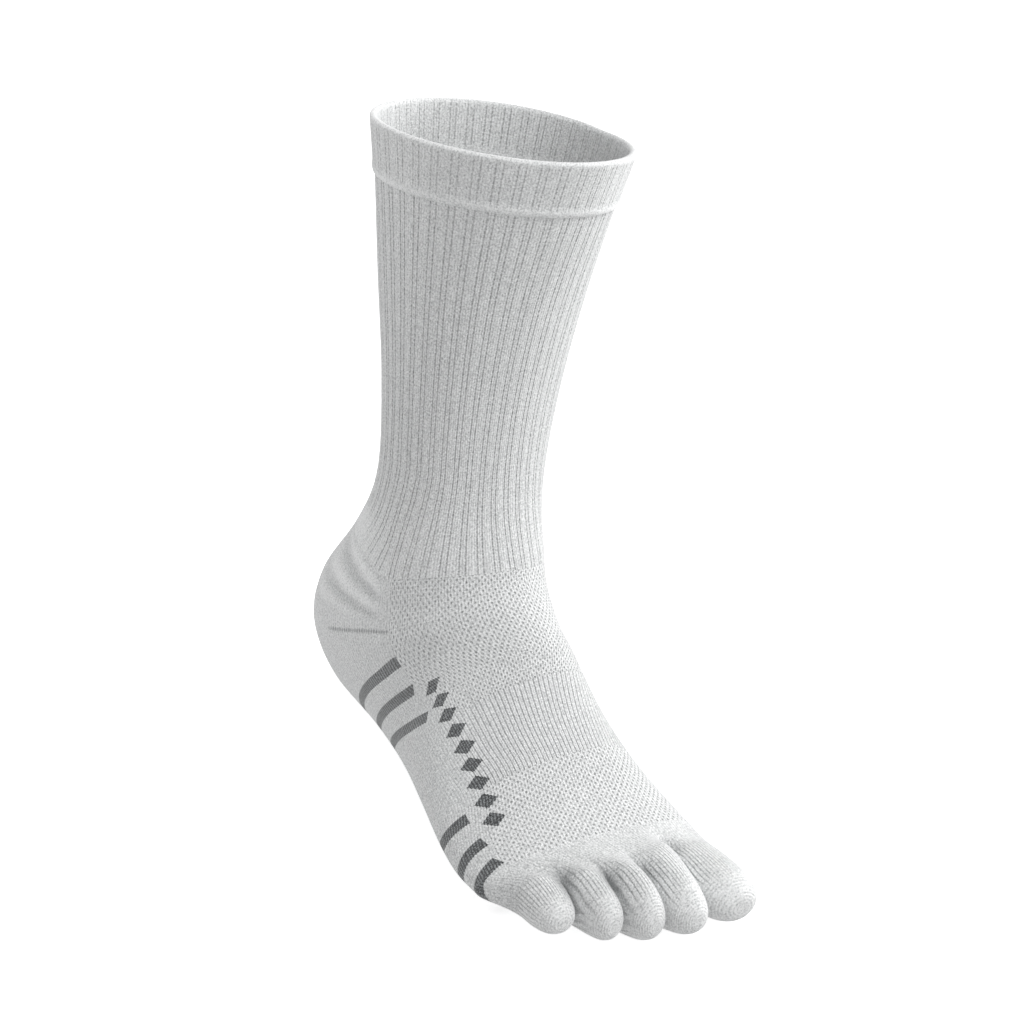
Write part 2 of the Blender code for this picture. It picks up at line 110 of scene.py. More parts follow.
# Cross-sections of the foot from the ankle line to the toe box. y columns are shares of
# the foot's length from the heel's back, z columns shares of the instep's height from
# the floor and x columns shares of the width across the ball.
FOOT_ROWS = {
    "ankle": (0.455, 0.321, 0.085, 1.000, 0.845, 0.918, 0.875, 0.035, -0.330, 0.331, 0.000, 2.1, 2.0),
    "heel_back": (0.475, 0.337, 0.005, 0.922, 0.700, 0.745, 0.525, 0.040, -0.339, 0.332, -0.005, 2.1, 2.2),
    "gore": (0.499, 0.355, -0.004, 0.870, 0.582, 0.602, 0.255, 0.041, -0.349, 0.338, 0.000, 2.1, 2.2),
    "heel_under": (0.525, 0.391, 0.063, 0.816, 0.470, 0.478, 0.046, 0.051, -0.325, 0.340, 0.025, 2.1, 2.1),
    "heel_end": (0.553, 0.437, 0.240, 0.766, 0.384, 0.390, 0.003, 0.067, -0.345, 0.344, 0.030, 2.1, 2.1),
    "arch_back": (0.586, 0.502, 0.422, 0.691, 0.301, 0.333, 0.012, 0.085, -0.412, 0.343, 0.000, 2.0, 2.2),
    "arch_middle": (0.636, 0.581, 0.541, 0.578, 0.219, 0.265, 0.012, 0.093, -0.471, 0.353, -0.025, 2.0, 2.3),
    "arch_front": (0.690, 0.653, 0.642, 0.478, 0.155, 0.209, 0.010, 0.100, -0.523, 0.378, -0.035, 2.0, 2.3),
    "ball": (0.748, 0.722, 0.722, 0.368, 0.115, 0.174, 0.000, 0.092, -0.553, 0.418, -0.035, 2.1, 2.4),
    "box": (0.812, 0.785, 0.785, 0.290, 0.110, 0.146, 0.000, 0.077, -0.562, 0.442, -0.035, 2.2, 2.4),
}
ROW = {name: index for index, name in enumerate(list(LEG_ROWS) + list(FOOT_ROWS))}

# Border between the mesh side and the plain side of the foot, as a share of the way
# round from the front line to the side line
KNIT_BORDER = {
    "ankle": 0.96, "heel_back": 0.96, "gore": 0.96, "heel_under": 0.94, "heel_end": 0.81,
    "arch_back": 0.72, "arch_middle": 0.64, "arch_front": 0.57, "ball": 0.62, "box": 0.65,
}

# Lines between the toes, from the lateral edge to the medial edge: where each starts
# and its x at the front of the longest toe, as shares of the ball's width and the
# foot's length
TOE_LINES = (
    {"root_x": -0.466, "root_y": 0.837, "front_x": -0.472},
    {"root_x": -0.300, "root_y": 0.861, "front_x": -0.305},
    {"root_x": -0.166, "root_y": 0.899, "front_x": -0.153},
    {"root_x": -0.028, "root_y": 0.910, "front_x": 0.004},
    {"root_x": 0.176, "root_y": 0.860, "front_x": 0.182},
    {"root_x": 0.436, "root_y": 0.872, "front_x": 0.464},
)
# Each toe's root and tip: heights are shares of the toes' height, tip_y of the foot's length
TOES = {
    "little_toe": {"top": 0.67, "bottom": 0.035, "tip_y": 0.912, "tip_z": 0.325, "tip_half": 0.225},
    "fourth_toe": {"top": 0.80, "bottom": 0.030, "tip_y": 0.953, "tip_z": 0.355, "tip_half": 0.290},
    "third_toe": {"top": 0.90, "bottom": 0.015, "tip_y": 0.976, "tip_z": 0.375, "tip_half": 0.300},
    "second_toe": {"top": 0.93, "bottom": 0.010, "tip_y": 0.991, "tip_z": 0.385, "tip_half": 0.315},
    "big_toe": {"top": 0.75, "bottom": 0.005, "tip_y": 0.981, "tip_z": 0.362, "tip_half": 0.350},
}

# Marks on the lateral side, as (row position, turn) points from the upper end down: three
# points of each dark band's middle line, the row of lozenges and the seam at the heel
STRIPE_LINES = (
    ((7.57, 0.96), (8.01, 1.12), (8.58, 1.41)),
    ((8.56, 0.92), (8.72, 1.09), (9.05, 1.39)),
    ((9.58, 0.83), (9.44, 1.04), (9.52, 1.41)),
    ((12.38, 0.71), (12.34, 0.86), (12.30, 1.13)),
    ((13.12, 0.67), (13.17, 0.84), (13.31, 1.07)),
    ((13.75, 0.66), (13.96, 0.90), (14.12, 1.35)),
)
LOZENGE_LINE = ((8.55, 0.80), (9.43, 0.72), (10.13, 0.66), (10.87, 0.61), (11.97, 0.58), (13.00, 0.56))
SEAM_LINE = ((6.56, 0.99), (6.66, 1.05), (6.78, 1.13), (6.88, 1.22), (6.97, 1.34))


def linear_colour(code: str) -> tuple[float, float, float, float]:
    """Turns an sRGB hex colour into linear red, green, blue and alpha.

    Args:
        code: The colour as "#RRGGBB".

    Returns:
        The four linear values.
    """
    shares = [int(code[k:k + 2], 16) / 255 for k in (1, 3, 5)]
    linear = [s / 12.92 if s <= 0.04045 else ((s + 0.055) / 1.055) ** 2.4 for s in shares]
    return (*linear, 1.0)


def smooth(t: Array) -> Array:
    """Smooth step from 0 to 1."""
    t = np.clip(t, 0.0, 1.0)
    return t * t * (3 - 2 * t)


def bell(t: Array) -> Array:
    """Bell-shaped bump of height 1 at 0, with a half width of about 1."""
    return np.exp(-t * t)


def to_middle(t: Array) -> Array:
    """Distance of each value from the nearest whole number."""
    return np.abs(t - np.round(t))


def arc_lengths(points: Array) -> Array:
    """Length along a line of points, starting at 0."""
    steps = np.linalg.norm(np.diff(points, axis=0), axis=1)
    return np.concatenate(([0.0], np.cumsum(steps)))


def grid_normals(points: Array, closed: bool) -> Array:
    """Unit normals of a grid of points.

    Args:
        points: Rows of points.
        closed: Whether each row runs all the way round.

    Returns:
        One normal for each point, on the side that rows and columns turn to.
    """
    if closed:
        around = np.roll(points, -1, axis=1) - np.roll(points, 1, axis=1)
    else:
        around = np.gradient(points, axis=1)
    normals = np.cross(around, np.gradient(points, axis=0))
    return normals / np.maximum(np.linalg.norm(normals, axis=2, keepdims=True), 1e-12)


@dataclass
class SockForm:
    """The sock's outside as one surface, over which all zones are laid.

    A place is a row position, such as 4.5 for halfway from row 4 to row 5. A turn is
    the way round in quarters: 0 front, 1 lateral, 2 back, 3 medial.
    """

    foot_length: float = 0.245
    ball_width: float = 0.097
    instep_height: float = 0.092
    leg_length: float = 0.158
    cuff_height: float = 0.0215
    cuff_width: float = 0.098
    cuff_depth: float = 0.103
    toe_height: float = 0.030
    wall: float = 0.0020
    heel_centre: float = 0.13
    # Step by which the surface's directions are measured, in rows and in quarter turns
    frame_step: float = 0.02
    # Samples for even steps, for each row and round a section
    row_samples: int = 40
    round_samples: int = 241
    sections: Array = field(init=False)
    borders: Array = field(init=False)

    def __post_init__(self) -> None:
        """Works out the sections in metres."""
        heel_back = self.foot_y(0.0)
        leg_tube = self.leg_length - self.cuff_height
        rows = []
        for name, shares in LEG_ROWS.items():
            lift = self.cuff_height if name == "cuff_top" else 0.0
            ys = [heel_back - share * self.cuff_depth for share in shares[0:3]]
            zs = [self.instep_height - self.wall + share * leg_tube + lift for share in shares[3:7]]
            rows.append(ys + zs + [share * self.cuff_width for share in shares[7:11]] + list(shares[11:13]))
        for shares in FOOT_ROWS.values():
            ys = [self.foot_y(share) for share in shares[0:3]]
            zs = [share * self.instep_height - self.wall for share in shares[3:7]]
            rows.append(ys + zs + [share * self.ball_width for share in shares[7:11]] + list(shares[11:13]))
        self.sections = np.array(rows)
        self.borders = np.array([[value] for value in KNIT_BORDER.values()])

    def foot_y(self, share: float) -> float:
        """Y of a share of the foot's length, measured from the heel's back."""
        return (self.heel_centre - share) * self.foot_length

    def blended(self, table: Array, place: Array) -> Array:
        """Reads a table between its rows along a smooth curve (Catmull-Rom).

        Args:
            table: Array with one row per section.
            place: Row positions, of any shape.

        Returns:
            The blended rows, with the table's columns as the last axis.
        """
        last = len(table) - 1
        start = np.clip(np.floor(place), 0, last - 1).astype(int)
        t = (place - start)[..., None]
        row0, row1 = table[start], table[start + 1]
        before = np.where((start > 0)[..., None], table[np.maximum(start - 1, 0)], 2 * row0 - row1)
        after = np.where((start + 2 <= last)[..., None], table[np.minimum(start + 2, last)], 2 * row1 - row0)
        return 0.5 * (
            2 * row0
            + (row1 - before) * t
            + (2 * before - 5 * row0 + 4 * row1 - after) * t ** 2
            + (3 * row0 - before - 3 * row1 + after) * t ** 3
        )

    def surface(self, place: Array, turn: Array) -> Array:
        """Points of the sock's outside.

        Args:
            place: Row positions.
            turn: Ways round, of the same shape.

        Returns:
            The points, with x, y and z as the last axis.
        """
        part = dict(zip(COLUMNS, np.moveaxis(self.blended(self.sections, place), -1, 0)))
        turn = turn % 4
        lateral = turn <= 2
        back = (turn > 1) & (turn < 3)
        from_end = np.where(back, np.abs(turn - 2), np.minimum(turn, 4 - turn)) * pi / 2
        power = 2 / np.where(back, part["back_n"], part["front_n"])
        out = np.clip(np.sin(from_end), 0, 1) ** power
        along = np.clip(np.cos(from_end), 0, 1) ** power
        end_x, end_y, end_z = (np.where(back, part["back_" + axis], part["front_" + axis]) for axis in "xyz")
        side_x, side_z = (np.where(lateral, part["lateral_" + axis], part["medial_" + axis]) for axis in "xz")
        return np.stack((
            end_x + (side_x - end_x) * out,
            part["side_y"] + (end_y - part["side_y"]) * along,
            side_z + (end_z - side_z) * along,
        ), axis=-1)

    def outwards(self, place: Array, turn: Array) -> Array:
        """Unit vectors that point out of the surface.

        Args:
            place: Row positions.
            turn: Ways round, of the same shape.

        Returns:
            The vectors, with x, y and z as the last axis.
        """
        step = self.frame_step
        low, high = np.maximum(place - step, 0.0), np.minimum(place + step, len(self.sections) - 1.0)
        down = self.surface(high, turn) - self.surface(low, turn)
        around = self.surface(place, turn + step) - self.surface(place, turn - step)
        normals = np.cross(around, down)
        return normals / np.linalg.norm(normals, axis=-1, keepdims=True)

    def border(self, place: Array) -> Array:
        """Way round of the knit border at row positions of the foot."""
        return self.blended(self.borders, place - ROW["ankle"])[..., 0]

    def even_places(self, first: float, last: float, turn: float, count: int) -> Array:
        """Row positions that lie evenly along the cloth at one way round.

        Args:
            first: Row position of the start.
            last: Row position of the end.
            turn: Way round at which the steps are even.
            count: Number of steps.

        Returns:
            The row positions, one more than the steps.
        """
        dense = np.linspace(first, last, self.row_samples * int(last - first) + 1)
        lengths = arc_lengths(self.surface(dense, np.full_like(dense, turn)))
        return np.interp(np.linspace(0, lengths[-1], count + 1), lengths, dense)

    def even_turns(self, place: float, start: float, end: float, count: int) -> Array:
        """Ways round that lie evenly along the cloth in one section.

        Args:
            place: Row position of the section.
            start: Way round of the start.
            end: Way round of the end.
            count: Number of steps.

        Returns:
            The ways round, one more than the steps.
        """
        dense = np.linspace(start, end, self.round_samples)
        lengths = arc_lengths(self.surface(np.full_like(dense, place), dense))
        return np.interp(np.linspace(0, lengths[-1], count + 1), lengths, dense)


@dataclass
class SideMarks:
    """The dark yarn marks of the lateral side, as maps that any zone can read."""

    form: SockForm
    samples: int = 60
    lozenges: int = 9
    # How far from its middle a band may lie and how long it is, both in chords
    band_reach: float = 0.75
    band_length: float = 1.3
    # Least squared sine of the angle between the cloth and a band's plane
    least_tilt: float = 0.04

    def line(self, knots: tuple) -> Array:
        """Points along a line on the surface.

        Args:
            knots: The line's (row position, turn) points.

        Returns:
            The points.
        """
        read = self.form.blended(np.array(knots), np.linspace(0, len(knots) - 1, self.samples))
        return self.form.surface(read[:, 0], read[:, 1])

    def nearest(self, points: Array, knots: tuple) -> tuple[Array, Array]:
        """Distance of points from a line.

        Args:
            points: Points with x, y and z as the last axis.
            knots: The line's (row position, turn) points.

        Returns:
            The distance and the way along the line, both in metres.
        """
        line = self.line(knots)
        lengths = arc_lengths(line)
        flat = points.reshape(-1, 3)
        best = np.full(len(flat), FAR)
        along = np.zeros(len(flat))
        for start, way, length in zip(line, np.diff(line, axis=0), lengths):
            t = np.clip((flat - start) @ way / (way @ way), 0, 1)
            off = np.linalg.norm(flat - start - t[:, None] * way, axis=1)
            closer = off < best
            best = np.where(closer, off, best)
            along = np.where(closer, length + t * np.linalg.norm(way), along)
        return best.reshape(points.shape[:-1]), along.reshape(points.shape[:-1])

    def band(self, points: Array, outwards: Array, knots: tuple) -> tuple[Array, Array]:
        """Place of points in a dark band, which lies in one plane across the foot.

        Args:
            points: Points with x, y and z as the last axis.
            outwards: The points' normals.
            knots: Three (row position, turn) points of the band's middle line.

        Returns:
            The distance from the middle line in metres, and the share of the way along
            it, which is -1 on the far side of the foot.
        """
        start, middle, end = self.form.surface(*np.array(knots).T)
        normal = np.cross(middle - start, end - start)
        normal /= np.linalg.norm(normal)
        chord = end - start
        tilt = np.sqrt(np.maximum(1 - (outwards @ normal) ** 2, self.least_tilt))
        far = np.linalg.norm(points - (start + end) / 2, axis=-1) > self.band_reach * np.linalg.norm(chord)
        share = (points - start) @ chord / (chord @ chord)
        return np.abs((points - start) @ normal) / tilt, np.where(far, -1.0, share / self.band_length)

    def maps(self, points: Array, outwards: Array) -> dict[str, Array]:
        """Maps of the bands and of the lozenges.

        Args:
            points: The zone's points, with the seam's column twice where it is closed.
            outwards: The points' normals.

        Returns:
            For the bands the distance in mm and the share along the nearest one, and
            for the lozenges the distance in mm and the number of pitches.
        """
        distance, along = np.full(points.shape[:-1], FAR), np.full(points.shape[:-1], -1.0)
        for knots in STRIPE_LINES:
            off, share = self.band(points, outwards, knots)
            nearer = (off < distance) & (share > -1)
            distance, along = np.where(nearer, off, distance), np.where(nearer, share, along)
        across, length = self.nearest(points, LOZENGE_LINE)
        total = arc_lengths(self.line(LOZENGE_LINE))[-1]
        return {
            "bands": np.stack((distance / MM, along), axis=-1),
            "lozenges": np.stack((across / MM, length / total * self.lozenges), axis=-1),
        }


@dataclass
class Cloth:
    """One cloth wall as two grids of points, before it becomes a mesh.

    The inner grid takes every few rows and columns of the outer one. Maps hold two
    values for each outer point, with one more column where the rows run all the way
    round, so that they don't jump at the seam.
    """

    outer: Array
    inner: Array
    closed: bool
    maps: dict[str, Array]
    row_step: int
    column_step: int
    capped: bool = False
    sharp_angle: float = 62.0

    def as_object(self, name: str) -> bpy.types.Object:
        """Turns the wall into a smooth-shaded object.

        Args:
            name: Name of the object.

        Returns:
            The new object, linked to the scene.
        """
        faces, corners = self._faces()
        points = np.concatenate((self.outer.reshape(-1, 3), self.inner.reshape(-1, 3)))
        data = bpy.data.meshes.new(name)
        data.vertices.add(len(points))
        data.vertices.foreach_set("co", points.astype(np.float32).ravel())
        sizes = np.array([len(face) for face in faces])
        data.loops.add(int(sizes.sum()))
        data.loops.foreach_set("vertex_index", np.concatenate(faces).astype(np.int32))
        data.polygons.add(len(faces))
        data.polygons.foreach_set("loop_start", np.concatenate(([0], np.cumsum(sizes)[:-1])).astype(np.int32))
        where = np.concatenate(corners)
        for label, table in self.maps.items():
            thinned = table[::self.row_step, ::self.column_step]
            both = np.concatenate((table.reshape(-1, 2), thinned.reshape(-1, 2)))
            layer = data.uv_layers.new(name=label)
            layer.data.foreach_set("uv", both[where].astype(np.float32).ravel())
        data.update(calc_edges=True)
        data.validate()
        data.shade_smooth()
        data.set_sharp_from_angle(angle=radians(self.sharp_angle))
        item = bpy.data.objects.new(name, data)
        bpy.context.scene.collection.objects.link(item)
        return item

    def _faces(self) -> tuple[list[Array], list[Array]]:
        """Faces of both grids and of the rims between them.

        Returns:
            For each face its vertices, and where its corners stand in the maps.
        """
        rows, columns = self.outer.shape[:2]
        thin_rows, thin_columns = self.inner.shape[:2]
        outer = _grid_faces(rows, columns, self.closed)
        inner = _grid_faces(thin_rows, thin_columns, self.closed)
        width = columns + self.closed
        thin_width = thin_columns + self.closed
        shift, corner_shift = rows * columns, rows * width
        faces = list(outer[0]) + list(inner[0][:, ::-1] + shift)
        corners = list(outer[1]) + list(inner[1][:, ::-1] + corner_shift)
        spans = thin_columns if self.closed else thin_columns - 1
        ends = [(0, 0, -1), (rows - 1, thin_rows - 1, 1)]
        if self.capped:
            ends.pop()
            last_ring = shift + (thin_rows - 1) * thin_columns
            for first, count, order in ((shift - columns, columns, 1), (last_ring, thin_columns, -1)):
                faces.append(np.arange(first, first + count)[::order])
                corners.append(np.full(count, corner_shift - width))
        for row, thin_row, order in ends:
            for k in range(spans):
                fine = np.arange(k * self.column_step, (k + 1) * self.column_step + 1)
                pair = np.array((k + 1, k))
                below = shift + thin_row * thin_columns + pair % thin_columns
                thin_corner = corner_shift + thin_row * thin_width + pair
                faces.append(np.concatenate((row * columns + fine % columns, below))[::order])
                corners.append(np.concatenate((row * width + fine, thin_corner))[::order])
        if not self.closed:
            for column, thin_column, order in ((0, 0, 1), (columns - 1, thin_columns - 1, -1)):
                for i in range(thin_rows - 1):
                    fine = np.arange(i * self.row_step, (i + 1) * self.row_step + 1) * columns + column
                    pair = np.array((i + 1, i)) * thin_columns + thin_column
                    faces.append(np.concatenate((fine, shift + pair))[::order])
                    corners.append(np.concatenate((fine, corner_shift + pair))[::order])
        return faces, corners


def _grid_faces(rows: int, columns: int, closed: bool) -> tuple[Array, Array]:
    """Four-sided faces of one grid.

    Args:
        rows: Number of rows.
        columns: Number of points in a row.
        closed: Whether each row runs all the way round.

    Returns:
        The faces' vertices, and their corners in a map that has one more column where
        the rows are closed.
    """
    spans = columns if closed else columns - 1
    i, k = (part.ravel() for part in np.meshgrid(np.arange(rows - 1), np.arange(spans), indexing="ij"))
    quads = ((i, k), (i, k + 1), (i + 1, k + 1), (i + 1, k))
    faces = np.stack([row * columns + column % columns for row, column in quads], axis=1)
    corners = np.stack([row * (columns + closed) + column for row, column in quads], axis=1)
    return faces, corners


def pulled_in(grid: Array, closed: bool, gap: float) -> Array:
    """Moves a grid's border points inwards, along the cloth, by half a gap.

    Args:
        grid: Rows of points.
        closed: Whether each row runs all the way round.
        gap: Space between two neighbouring zones.

    Returns:
        The grid with its border moved.
    """
    moved = grid.copy()
    for edge, inside in ((0, 1), (-1, -2)):
        way = grid[inside] - grid[edge]
        moved[edge] += way / np.linalg.norm(way, axis=1, keepdims=True) * gap / 2
        if not closed:
            way = grid[:, inside] - grid[:, edge]
            moved[:, edge] += way / np.linalg.norm(way, axis=1, keepdims=True) * gap / 2
    return moved


def other_way(grid: Array) -> Array:
    """Runs a closed grid's columns the other way round, from the same first column."""
    return np.roll(grid[:, ::-1], 1, axis=1)


def add_node(
    tree: bpy.types.ShaderNodeTree, kind: str, settings: dict[str, object], links: dict | tuple
) -> bpy.types.NodeOutputs:
    """Adds a node with its settings and links.

    Args:
        tree: Node tree of the material.
        kind: Kind of node, without the leading ShaderNode.
        settings: Values of the node's own properties.
        links: For each input either the socket that feeds it or its constant, in the
            order of the inputs or by their keys.

    Returns:
        The new node's outputs.
    """
    item = tree.nodes.new("ShaderNode" + kind)
    for name, value in settings.items():
        setattr(item, name, value)
    for key, value in links.items() if isinstance(links, dict) else enumerate(links):
        if isinstance(value, bpy.types.NodeSocket):
            tree.links.new(value, item.inputs[key])
        else:
            item.inputs[key].default_value = value
    return item.outputs


def read_map(tree: bpy.types.ShaderNodeTree, label: str) -> list[bpy.types.NodeSocket]:
    """The two values of one of the cloth's maps."""
    where = add_node(tree, "UVMap", {"uv_map": label}, ())
    return add_node(tree, "SeparateXYZ", {}, (where[0],))[:2]


def new_material(label: str, values: dict[str, object]) -> tuple[bpy.types.Material, bpy.types.ShaderNode]:
    """Starts a material, with constants on its shader's own sockets.

    Args:
        label: Name of the material.
        values: The constants by the names of their sockets.

    Returns:
        The material and its shader.
    """
    item = bpy.data.materials.new(label)
    item.use_nodes = True
    shader = item.node_tree.nodes["Principled BSDF"]
    for name, value in values.items():
        shader.inputs[name].default_value = value
    return item, shader


class KnitPattern(Enum):
    """The ways in which the zones are knitted."""

    JERSEY = "plain smooth knit"
    RIB_PAIRS = "broad ribs between pairs of furrows"
    ARCH_RIB = "close lengthwise ribs"
    EYELETS = "open mesh with staggered eyelets"


@dataclass(frozen=True)
class CombedCottonKnit:
    """Bleached combed cotton with a nylon core, circular-knitted and steamed.

    The yarn is matt and a little hairy, with a faint speckle and no gloss. The shade in
    the furrows between the wales, in the ribs' grooves and in the eyelets is painted in.
    """

    label: str
    pattern: KnitPattern = KnitPattern.JERSEY
    yarn: str = "#EEEFEF"
    # The grey that the painted shade mixes in, in the furrows, grooves, eyelets and dents; the speckle's
    # random tone and the seam's dark stitches use it too
    furrow: str = "#8E9091"
    dark_yarn: str = "#333536"
    dark_fleck: str = "#85888A"
    roughness: float = 0.88
    ior: float = 1.53
    sheen: float = 0.55
    sheen_roughness: float = 0.5
    # A wale's furrow and a stitch's loop, as depths of the relief
    stitch_depth: float = 0.16 * MM
    # Half a wale's furrow in wales, and then the furrow's fall, the loop's rise and a
    # pattern's depth in parts of that depth
    furrow_half: float = 0.26
    furrow_fall: float = 0.7
    loop_rise: float = 0.6
    pattern_depth: float = 1.5
    # Where each pattern's mark begins and ends: round a rib's furrow in wales, its dots in
    # courses, round a close rib's furrow in wales, and on an eyelet's waves
    rib_edge: tuple[float, float] = (0.10, 0.44)
    dot_edge: tuple[float, float] = (0.1, 0.7)
    between_dots: float = 0.25
    arch_edge: tuple[float, float] = (0.05, 0.45)
    eyelet_edge: tuple[float, float] = (0.20, 0.80)
    # The yarn's speckle, drawn at 0.7 mm because single fibres are too fine to show
    speckle: float = 0.7 * MM
    speckle_share: float = 0.55
    base_shade: float = 0.25
    # Painted shade in the low stitches between the wales, and in the pattern's grooves, furrows and eyelets
    stitch_shade: float = 0.16
    pattern_shade: float = 0.42
    # The dark marks: half a band's width in mm, and half a lozenge across the row in mm and
    # along the row in pitches
    marked: bool = False
    band_half: float = 2.4
    lozenge_across: float = 4.8
    lozenge_along: float = 0.40
    # How far a band's and a lozenge's edges step with the stitches, and how soft they are
    band_step: float = 0.5
    band_edge: tuple[float, float] = (-0.1, 0.15)
    lozenge_step: float = 0.2
    lozenge_edge: tuple[float, float] = (1.0, 1.08)
    # Paler flecks in the dark yarn, partly random speckle and partly painted highlight on the
    # loops' tops: the speckle's weight beside the stitch's height, and from where to where they show
    fleck_weight: float = 2.0
    fleck_edge: tuple[float, float] = (1.68, 1.98)

    def material(self) -> bpy.types.Material:
        """Builds the node material of this knit.

        Returns:
            The new material.
        """
        item, shader = new_material(self.label, {
            "Roughness": self.roughness, "IOR": self.ior,
            "Sheen Weight": self.sheen, "Sheen Roughness": self.sheen_roughness,
        })
        tree = item.node_tree
        add = partial(add_node, tree)
        wale, course = read_map(tree, "stitches")
        strength, extra = read_map(tree, "shades")
        height = self._stitches(tree, wale, course, strength)
        # Painted shade: darker where the stitch lies low and inside the pattern's marks, on top of what the
        # shades map adds
        shade = add("Math", MULTIPLY_ADD, (height, -self.stitch_shade, extra))[0]
        relief = height
        mark = self._pattern(tree, wale, course)
        if mark is not None:
            mark = add("Math", MULTIPLY, (mark, strength))[0]
            shade = add("Math", MULTIPLY_ADD, (mark, self.pattern_shade, shade))[0]
            relief = add("Math", MULTIPLY_ADD, (mark, -self.pattern_depth, height))[0]
        spots = add("TexCoord", {}, ())["Object"]
        noise = add("TexNoise", {}, {
            "Vector": spots, "Scale": 1 / self.speckle, "Detail": 2.0, "Roughness": 0.7,
        })[0]
        # Half the noise's spread comes off again, and the shade of a low stitch goes on
        spread = self.speckle_share * 4
        shade = add("Math", MULTIPLY_ADD, (noise, spread, shade))[0]
        level = spread / 2 - self.stitch_shade - self.base_shade
        shade = add("Math", SUBTRACT | {"use_clamp": True}, (shade, level))[0]
        yarns = {6: linear_colour(self.yarn), 7: linear_colour(self.furrow)}
        colour = add("Mix", COLOURS, {0: shade} | yarns)[2]
        if self.marked:
            colour = self._with_marks(tree, colour, height, wale, noise)
        bump = add("Bump", {}, {"Strength": 1.0, "Distance": self.stitch_depth, "Height": relief})[0]
        tree.links.new(colour, shader.inputs["Base Color"])
        tree.links.new(bump, shader.inputs["Normal"])
        return item

    def _stitches(
        self,
        tree: bpy.types.ShaderNodeTree,
        wale: bpy.types.NodeSocket,
        course: bpy.types.NodeSocket,
        strength: bpy.types.NodeSocket,
    ) -> bpy.types.NodeSocket:
        """Height of the V-shaped stitches, from 0 in the furrow to 1 on the loop.

        Args:
            tree: Node tree of the material.
            wale: Number of the wale, with the furrows at whole numbers.
            course: Number of the course.
            strength: How deep the furrows are: 1 is the usual depth.

        Returns:
            The height's socket.
        """
        add = partial(add_node, tree)
        side = add("Math", PINGPONG, (wale, 0.5))[0]
        lean = add("Math", SUBTRACT, (course, side))[0]
        loop = add("Math", PINGPONG, (lean, 0.5))[0]
        ridge = add("MapRange", SMOOTH_STEP, (side, 0.0, self.furrow_half, -self.furrow_fall, 0.0))[0]
        ridge = add("Math", MULTIPLY_ADD, (ridge, strength, self.furrow_fall))[0]
        return add("Math", MULTIPLY_ADD, (loop, self.loop_rise, ridge))[0]

    def _pattern(
        self, tree: bpy.types.ShaderNodeTree, wale: bpy.types.NodeSocket, course: bpy.types.NodeSocket
    ) -> bpy.types.NodeSocket | None:
        """Where this knit's furrows or eyelets lie, from 0 outside to 1 inside them.

        Args:
            tree: Node tree of the material.
            wale: Number of the wale.
            course: Number of the course.

        Returns:
            The mark's socket, or None for a plain knit.
        """
        add = partial(add_node, tree)
        if self.pattern is KnitPattern.RIB_PAIRS:
            one = add("Math", PINGPONG, (wale, WALES_PER_RIB / 2))[0]
            moved = add("Math", SUBTRACT, (wale, FURROW_APART))[0]
            other = add("Math", PINGPONG, (moved, WALES_PER_RIB / 2))[0]
            near = add("Math", MINIMUM, (one, other))[0]
            line = add("MapRange", SMOOTH_STEP, (near, *self.rib_edge, 1.0, 0.0))[0]
            dots = add("Math", PINGPONG, (course, 1.0))[0]
            dotted = add("MapRange", SMOOTH_STEP, (dots, *self.dot_edge, self.between_dots, 1.0))[0]
            return add("Math", MULTIPLY, (line, dotted))[0]
        if self.pattern is KnitPattern.ARCH_RIB:
            near = add("Math", PINGPONG, (wale, 1.0))[0]
            return add("MapRange", SMOOTH_STEP, (near, *self.arch_edge, 1.0, 0.0))[0]
        if self.pattern is KnitPattern.EYELETS:
            angles = ((wale, pi), (course, 2 * pi / EYELET_COURSES))
            across, along = (add("Math", COSINE, (add("Math", MULTIPLY, angle)[0],))[0] for angle in angles)
            lattice = add("Math", MULTIPLY, (across, along))[0]
            return add("MapRange", SMOOTH_STEP, (lattice, *self.eyelet_edge, 0.0, 1.0))[0]
        return None

    def _with_marks(
        self,
        tree: bpy.types.ShaderNodeTree,
        colour: bpy.types.NodeSocket,
        height: bpy.types.NodeSocket,
        wale: bpy.types.NodeSocket,
        noise: bpy.types.NodeSocket,
    ) -> bpy.types.NodeSocket:
        """Adds the dark bands and lozenges, whose edges step from stitch to stitch.

        Args:
            tree: Node tree of the material.
            colour: Colour of the pale knit.
            height: Height of the stitches.
            wale: Number of the wale.
            noise: The yarn's speckle, about 0.5 on average.

        Returns:
            The colour's socket with the marks in it.
        """
        add = partial(add_node, tree)
        step = add("Math", PINGPONG, (wale, 0.5))[0]
        off, share = read_map(tree, "bands")
        edge = add("Math", MULTIPLY_ADD, (step, self.band_step, off))[0]
        limits = (self.band_half + soft for soft in self.band_edge)
        across = add("MapRange", SMOOTH_STEP, (edge, *limits, 1.0, 0.0))[0]
        inside = add("Math", COMPARE, (share, 0.5, 0.5))[0]
        band = add("Math", MULTIPLY, (across, inside))[0]
        off, pitches = read_map(tree, "lozenges")
        along = add("Math", PINGPONG, (pitches, 0.5))[0]
        along = add("Math", MULTIPLY_ADD, (along, -1 / self.lozenge_along, 0.5 / self.lozenge_along))[0]
        slope = add("Math", MULTIPLY_ADD, (off, 1 / self.lozenge_across, along))[0]
        slope = add("Math", MULTIPLY_ADD, (step, self.lozenge_step, slope))[0]
        lozenge = add("MapRange", SMOOTH_STEP, (slope, *self.lozenge_edge, 1.0, 0.0))[0]
        mask = add("Math", MAXIMUM, (band, lozenge))[0]
